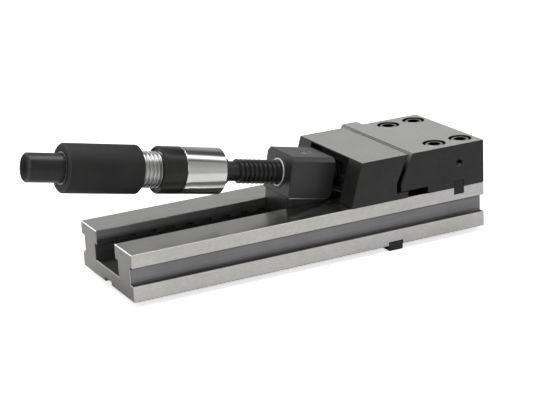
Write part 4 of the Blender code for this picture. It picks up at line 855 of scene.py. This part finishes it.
def makeJawScrews():
    s = jawScrewShape
    c = s["chamfer"]
    for number in range(1, 5):
        node = f"fixed_jaw_screw_{number}"
        low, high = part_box(node)
        bm = turned([(0, s["rim"]), (0, s["head"] - c), (c, s["head"]), (s["height"], s["head"]),
                     (s["height"], s["shank"]), (s["length"] - c, s["shank"]), (s["length"], s["shank"] - c),
                     (s["length"], 0)], s["steps"])
        soften(bm, s["soft"], 2)
        hexSocket(bm, 0, s["across"], s["depth"], s["steps"])
        paintSpan(bm, -paintReach["skin"], paintReach["skin"], 0, s["rim"])
        place = Matrix.Translation(((low[0] + high[0]) / 2, (low[1] + high[1]) / 2, high[2])) @ quarterTurn
        finishPiece(f"jawScrew{number}", bm, place, ["screwHead", "dullBlack"], node)


# pull-down insert, drawn up to the fixed jaw so that the closed joint doesn't show
insertShape = {"face": 0.12633, "reach": 0.00027, "sharp": 20}


def copyOf(name):
    node = nodes[name]
    bm = bmesh.new()
    bm.from_mesh(node.data)
    bmesh.ops.transform(bm, matrix=node.matrix_world, verts=bm.verts)
    bmesh.ops.remove_doubles(bm, verts=bm.verts, dist=meshLimits["merge"])
    return bm


def makeInsert():
    s = insertShape
    bm = copyOf("pulldown_insert")
    front = [v for v in bm.verts if v.co.x > s["face"]]
    bmesh.ops.translate(bm, verts=front, vec=(s["reach"], 0, 0))
    finishPiece("wedgeInsert", bm, Matrix(), ["insert"], "pulldown_insert", s["sharp"])


# springs, each copied into a piece of its own; nothing here shortens them with their joints. Columns: piece,
# joint, axis, the end that is held (min or max), travel
alongSpindle = tuple(spindlePlace.to_3x3() @ Vector((1, 0, 0)))
springMoves = {
    "insert_spring_near": ("insertSpringNear", "insert_slide", (1, 0, 0), min, 0.0035),
    "insert_spring_far": ("insertSpringFar", "insert_slide", (1, 0, 0), min, 0.0035),
    "return_spring": ("returnSpring", "piston_stroke", alongSpindle, max, 0.0015),
}
springSharp = 60


def makeSprings():
    for node, (name, joint, axis, heldEnd, travel) in springMoves.items():
        bm = copyOf(node)
        reach = [v.co.dot(Vector(axis)) for v in bm.verts]
        middle = sum((v.co for v in bm.verts), Vector()) / len(bm.verts)
        anchor = middle + Vector(axis) * (heldEnd(reach) - middle.dot(Vector(axis)))
        spring = finishPiece(name, bm, Matrix(), ["bright"], node, springSharp)
        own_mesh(spring)


makeInsert()
makeSprings()
makeStemFront()
makeSpindle()
makeCylinder()
makeRing()
makeTube()
makeSleeve()
makeStub()
makeNutRing()
makeJawScrews()
print("pieces made")


# white floor that keeps the shadow, glowing for the camera only
floorShape = {"height": -0.0054, "size": 12, "glow": 0.70, "colour": 0.80, "roughness": 0.9}


def makeFloor():
    bm = bmesh.new()
    bmesh.ops.create_grid(bm, x_segments=1, y_segments=1, size=floorShape["size"] / 2,
                          matrix=Matrix.Translation((0, 0, floorShape["height"])))
    mesh = bpy.data.meshes.new("floor")
    bm.to_mesh(mesh)
    bm.free()
    floor = bpy.data.objects.new("floor", mesh)
    bpy.context.scene.collection.objects.link(floor)
    material, tree, shader = startMaterial("paleFloor")
    shader.inputs["Base Color"].default_value = (floorShape["colour"],) * 3 + (1,)
    shader.inputs["Roughness"].default_value = floorShape["roughness"]
    shader.inputs["Specular IOR Level"].default_value = 0.0
    glow = tree.nodes.new("ShaderNodeEmission")
    glow.inputs["Color"].default_value = (1, 1, 1, 1)
    light = tree.nodes.new("ShaderNodeLightPath")
    strength = calculate(tree, "MULTIPLY", light.outputs["Is Camera Ray"], floorShape["glow"])
    tree.links.new(strength, glow.inputs["Strength"])
    both = tree.nodes.new("ShaderNodeAddShader")
    tree.links.new(shader.outputs[0], both.inputs[0])
    tree.links.new(glow.outputs[0], both.inputs[1])
    tree.links.new(both.outputs[0], tree.nodes["Material Output"].inputs["Surface"])
    mesh.materials.append(material)


# the room is bands of light along the spindle: share of the way from rear to front horizon, level;
# it is darker to the left, with one more box of light at the left rear
roomBands = ((0.0, 1.0), (0.05, 0.75), (0.10, 0.48), (0.15, 0.43), (0.22, 0.38), (0.27, 0.30),
             (0.32, 0.15), (0.37, 0.08), (0.47, 0.08), (0.50, 0.55), (0.53, 2.05), (0.57, 2.05),
             (0.605, 1.0), (0.635, 0.16), (0.67, 0.13), (0.70, 0.36), (0.80, 0.42), (0.89, 0.52),
             (1.0, 0.55))
leftShade = {"x": (-0.9, -0.1), "level": 0.7}
leftBox = {"x": (-0.29, -0.22), "y": (0.3, 0.5), "z": (0.22, 0.60, 0.06), "level": 1.5}


def makeWorld():
    world = bpy.data.worlds.new("softRoom")
    bpy.context.scene.world = world
    world.use_nodes = True
    tree = world.node_tree
    background = tree.nodes["Background"]
    coordinates = tree.nodes.new("ShaderNodeTexCoord")
    split = tree.nodes.new("ShaderNodeSeparateXYZ")
    tree.links.new(coordinates.outputs["Generated"], split.inputs[0])
    x, y, z = split.outputs[:3]
    rise = calculate(tree, "ADD", calculate(tree, "MULTIPLY", x, math.sin(spindle["tilt"])),
                 calculate(tree, "MULTIPLY", z, math.cos(spindle["tilt"])))
    angle = calculate(tree, "ARCTAN2", calculate(tree, "MAXIMUM", rise, 0.0), y)
    turn = calculate(tree, "DIVIDE", angle, math.pi)
    bands = tree.nodes.new("ShaderNodeValToRGB")
    stops = bands.color_ramp.elements
    while len(stops) < len(roomBands):
        stops.new(0.5)
    for element, (place, level) in zip(stops, roomBands):
        element.position = place
        element.color = (level, level, level, 1)
    tree.links.new(turn, bands.inputs["Fac"])
    sky = overlap(tree, bands.outputs["Color"], ramp(tree, x, *leftShade["x"], leftShade["level"], 1))
    box = overlap(tree, ramp(tree, x, *leftBox["x"], 1, 0), ramp(tree, y, *leftBox["y"]),
                  insideRange(tree, z, *leftBox["z"]), leftBox["level"])
    light = tree.nodes.new("ShaderNodeLightPath")
    level = mixValue(tree, light.outputs["Is Camera Ray"], calculate(tree, "ADD", sky, box), 1.0)
    background.inputs["Color"].default_value = (1, 1, 1, 1)
    tree.links.new(level, background.inputs["Strength"])


# soft lamps that look at the middle of the vise
lamps = {"topLight": {"power": 16, "size": (0.9, 0.9), "place": (-0.05, 0.2, 1.5)},
         "sideLight": {"power": 3, "size": (0.9, 0.7), "place": (-1.3, -1.1, 0.9)}}
lampTarget = Vector((0, 0, 0.05))


def makeLamp(name, power, size, place):
    lamp = bpy.data.lights.new(name, "AREA")
    lamp.shape = "RECTANGLE"
    lamp.size, lamp.size_y = size
    lamp.energy = power
    holder = bpy.data.objects.new(name, lamp)
    holder.location = place
    holder.rotation_euler = (lampTarget - Vector(place)).to_track_quat("-Z", "Y").to_euler()
    bpy.context.scene.collection.objects.link(holder)


# the photo's own view, in degrees and metres, with the lens in millimetres
cameraView = {"azimuth": -26.632707, "elevation": 17.533753, "roll": -2.830929,
              "place": (-0.70830, -1.369726, 0.53515), "lens": 110.37, "sensor": 36, "far": 50}


def makeCamera():
    lens = bpy.data.cameras.new("camera")
    lens.lens = cameraView["lens"]
    lens.sensor_width = cameraView["sensor"]
    lens.clip_end = cameraView["far"]
    azimuth, elevation, roll = (math.radians(cameraView[key]) for key in ("azimuth", "elevation", "roll"))
    turn = Matrix.Rotation(azimuth, 4, "Z") @ Matrix.Rotation(math.pi / 2 - elevation, 4, "X")
    turn = turn @ Matrix.Rotation(roll, 4, "Z")
    camera = bpy.data.objects.new("camera", lens)
    camera.matrix_world = Matrix.Translation(cameraView["place"]) @ turn
    bpy.context.scene.collection.objects.link(camera)
    bpy.context.scene.camera = camera


makeFloor()
makeWorld()
for name, lamp in lamps.items():
    makeLamp(name, **lamp)
makeCamera()
bpy.context.scene.view_settings.view_transform = "Standard"
print("studio ready")
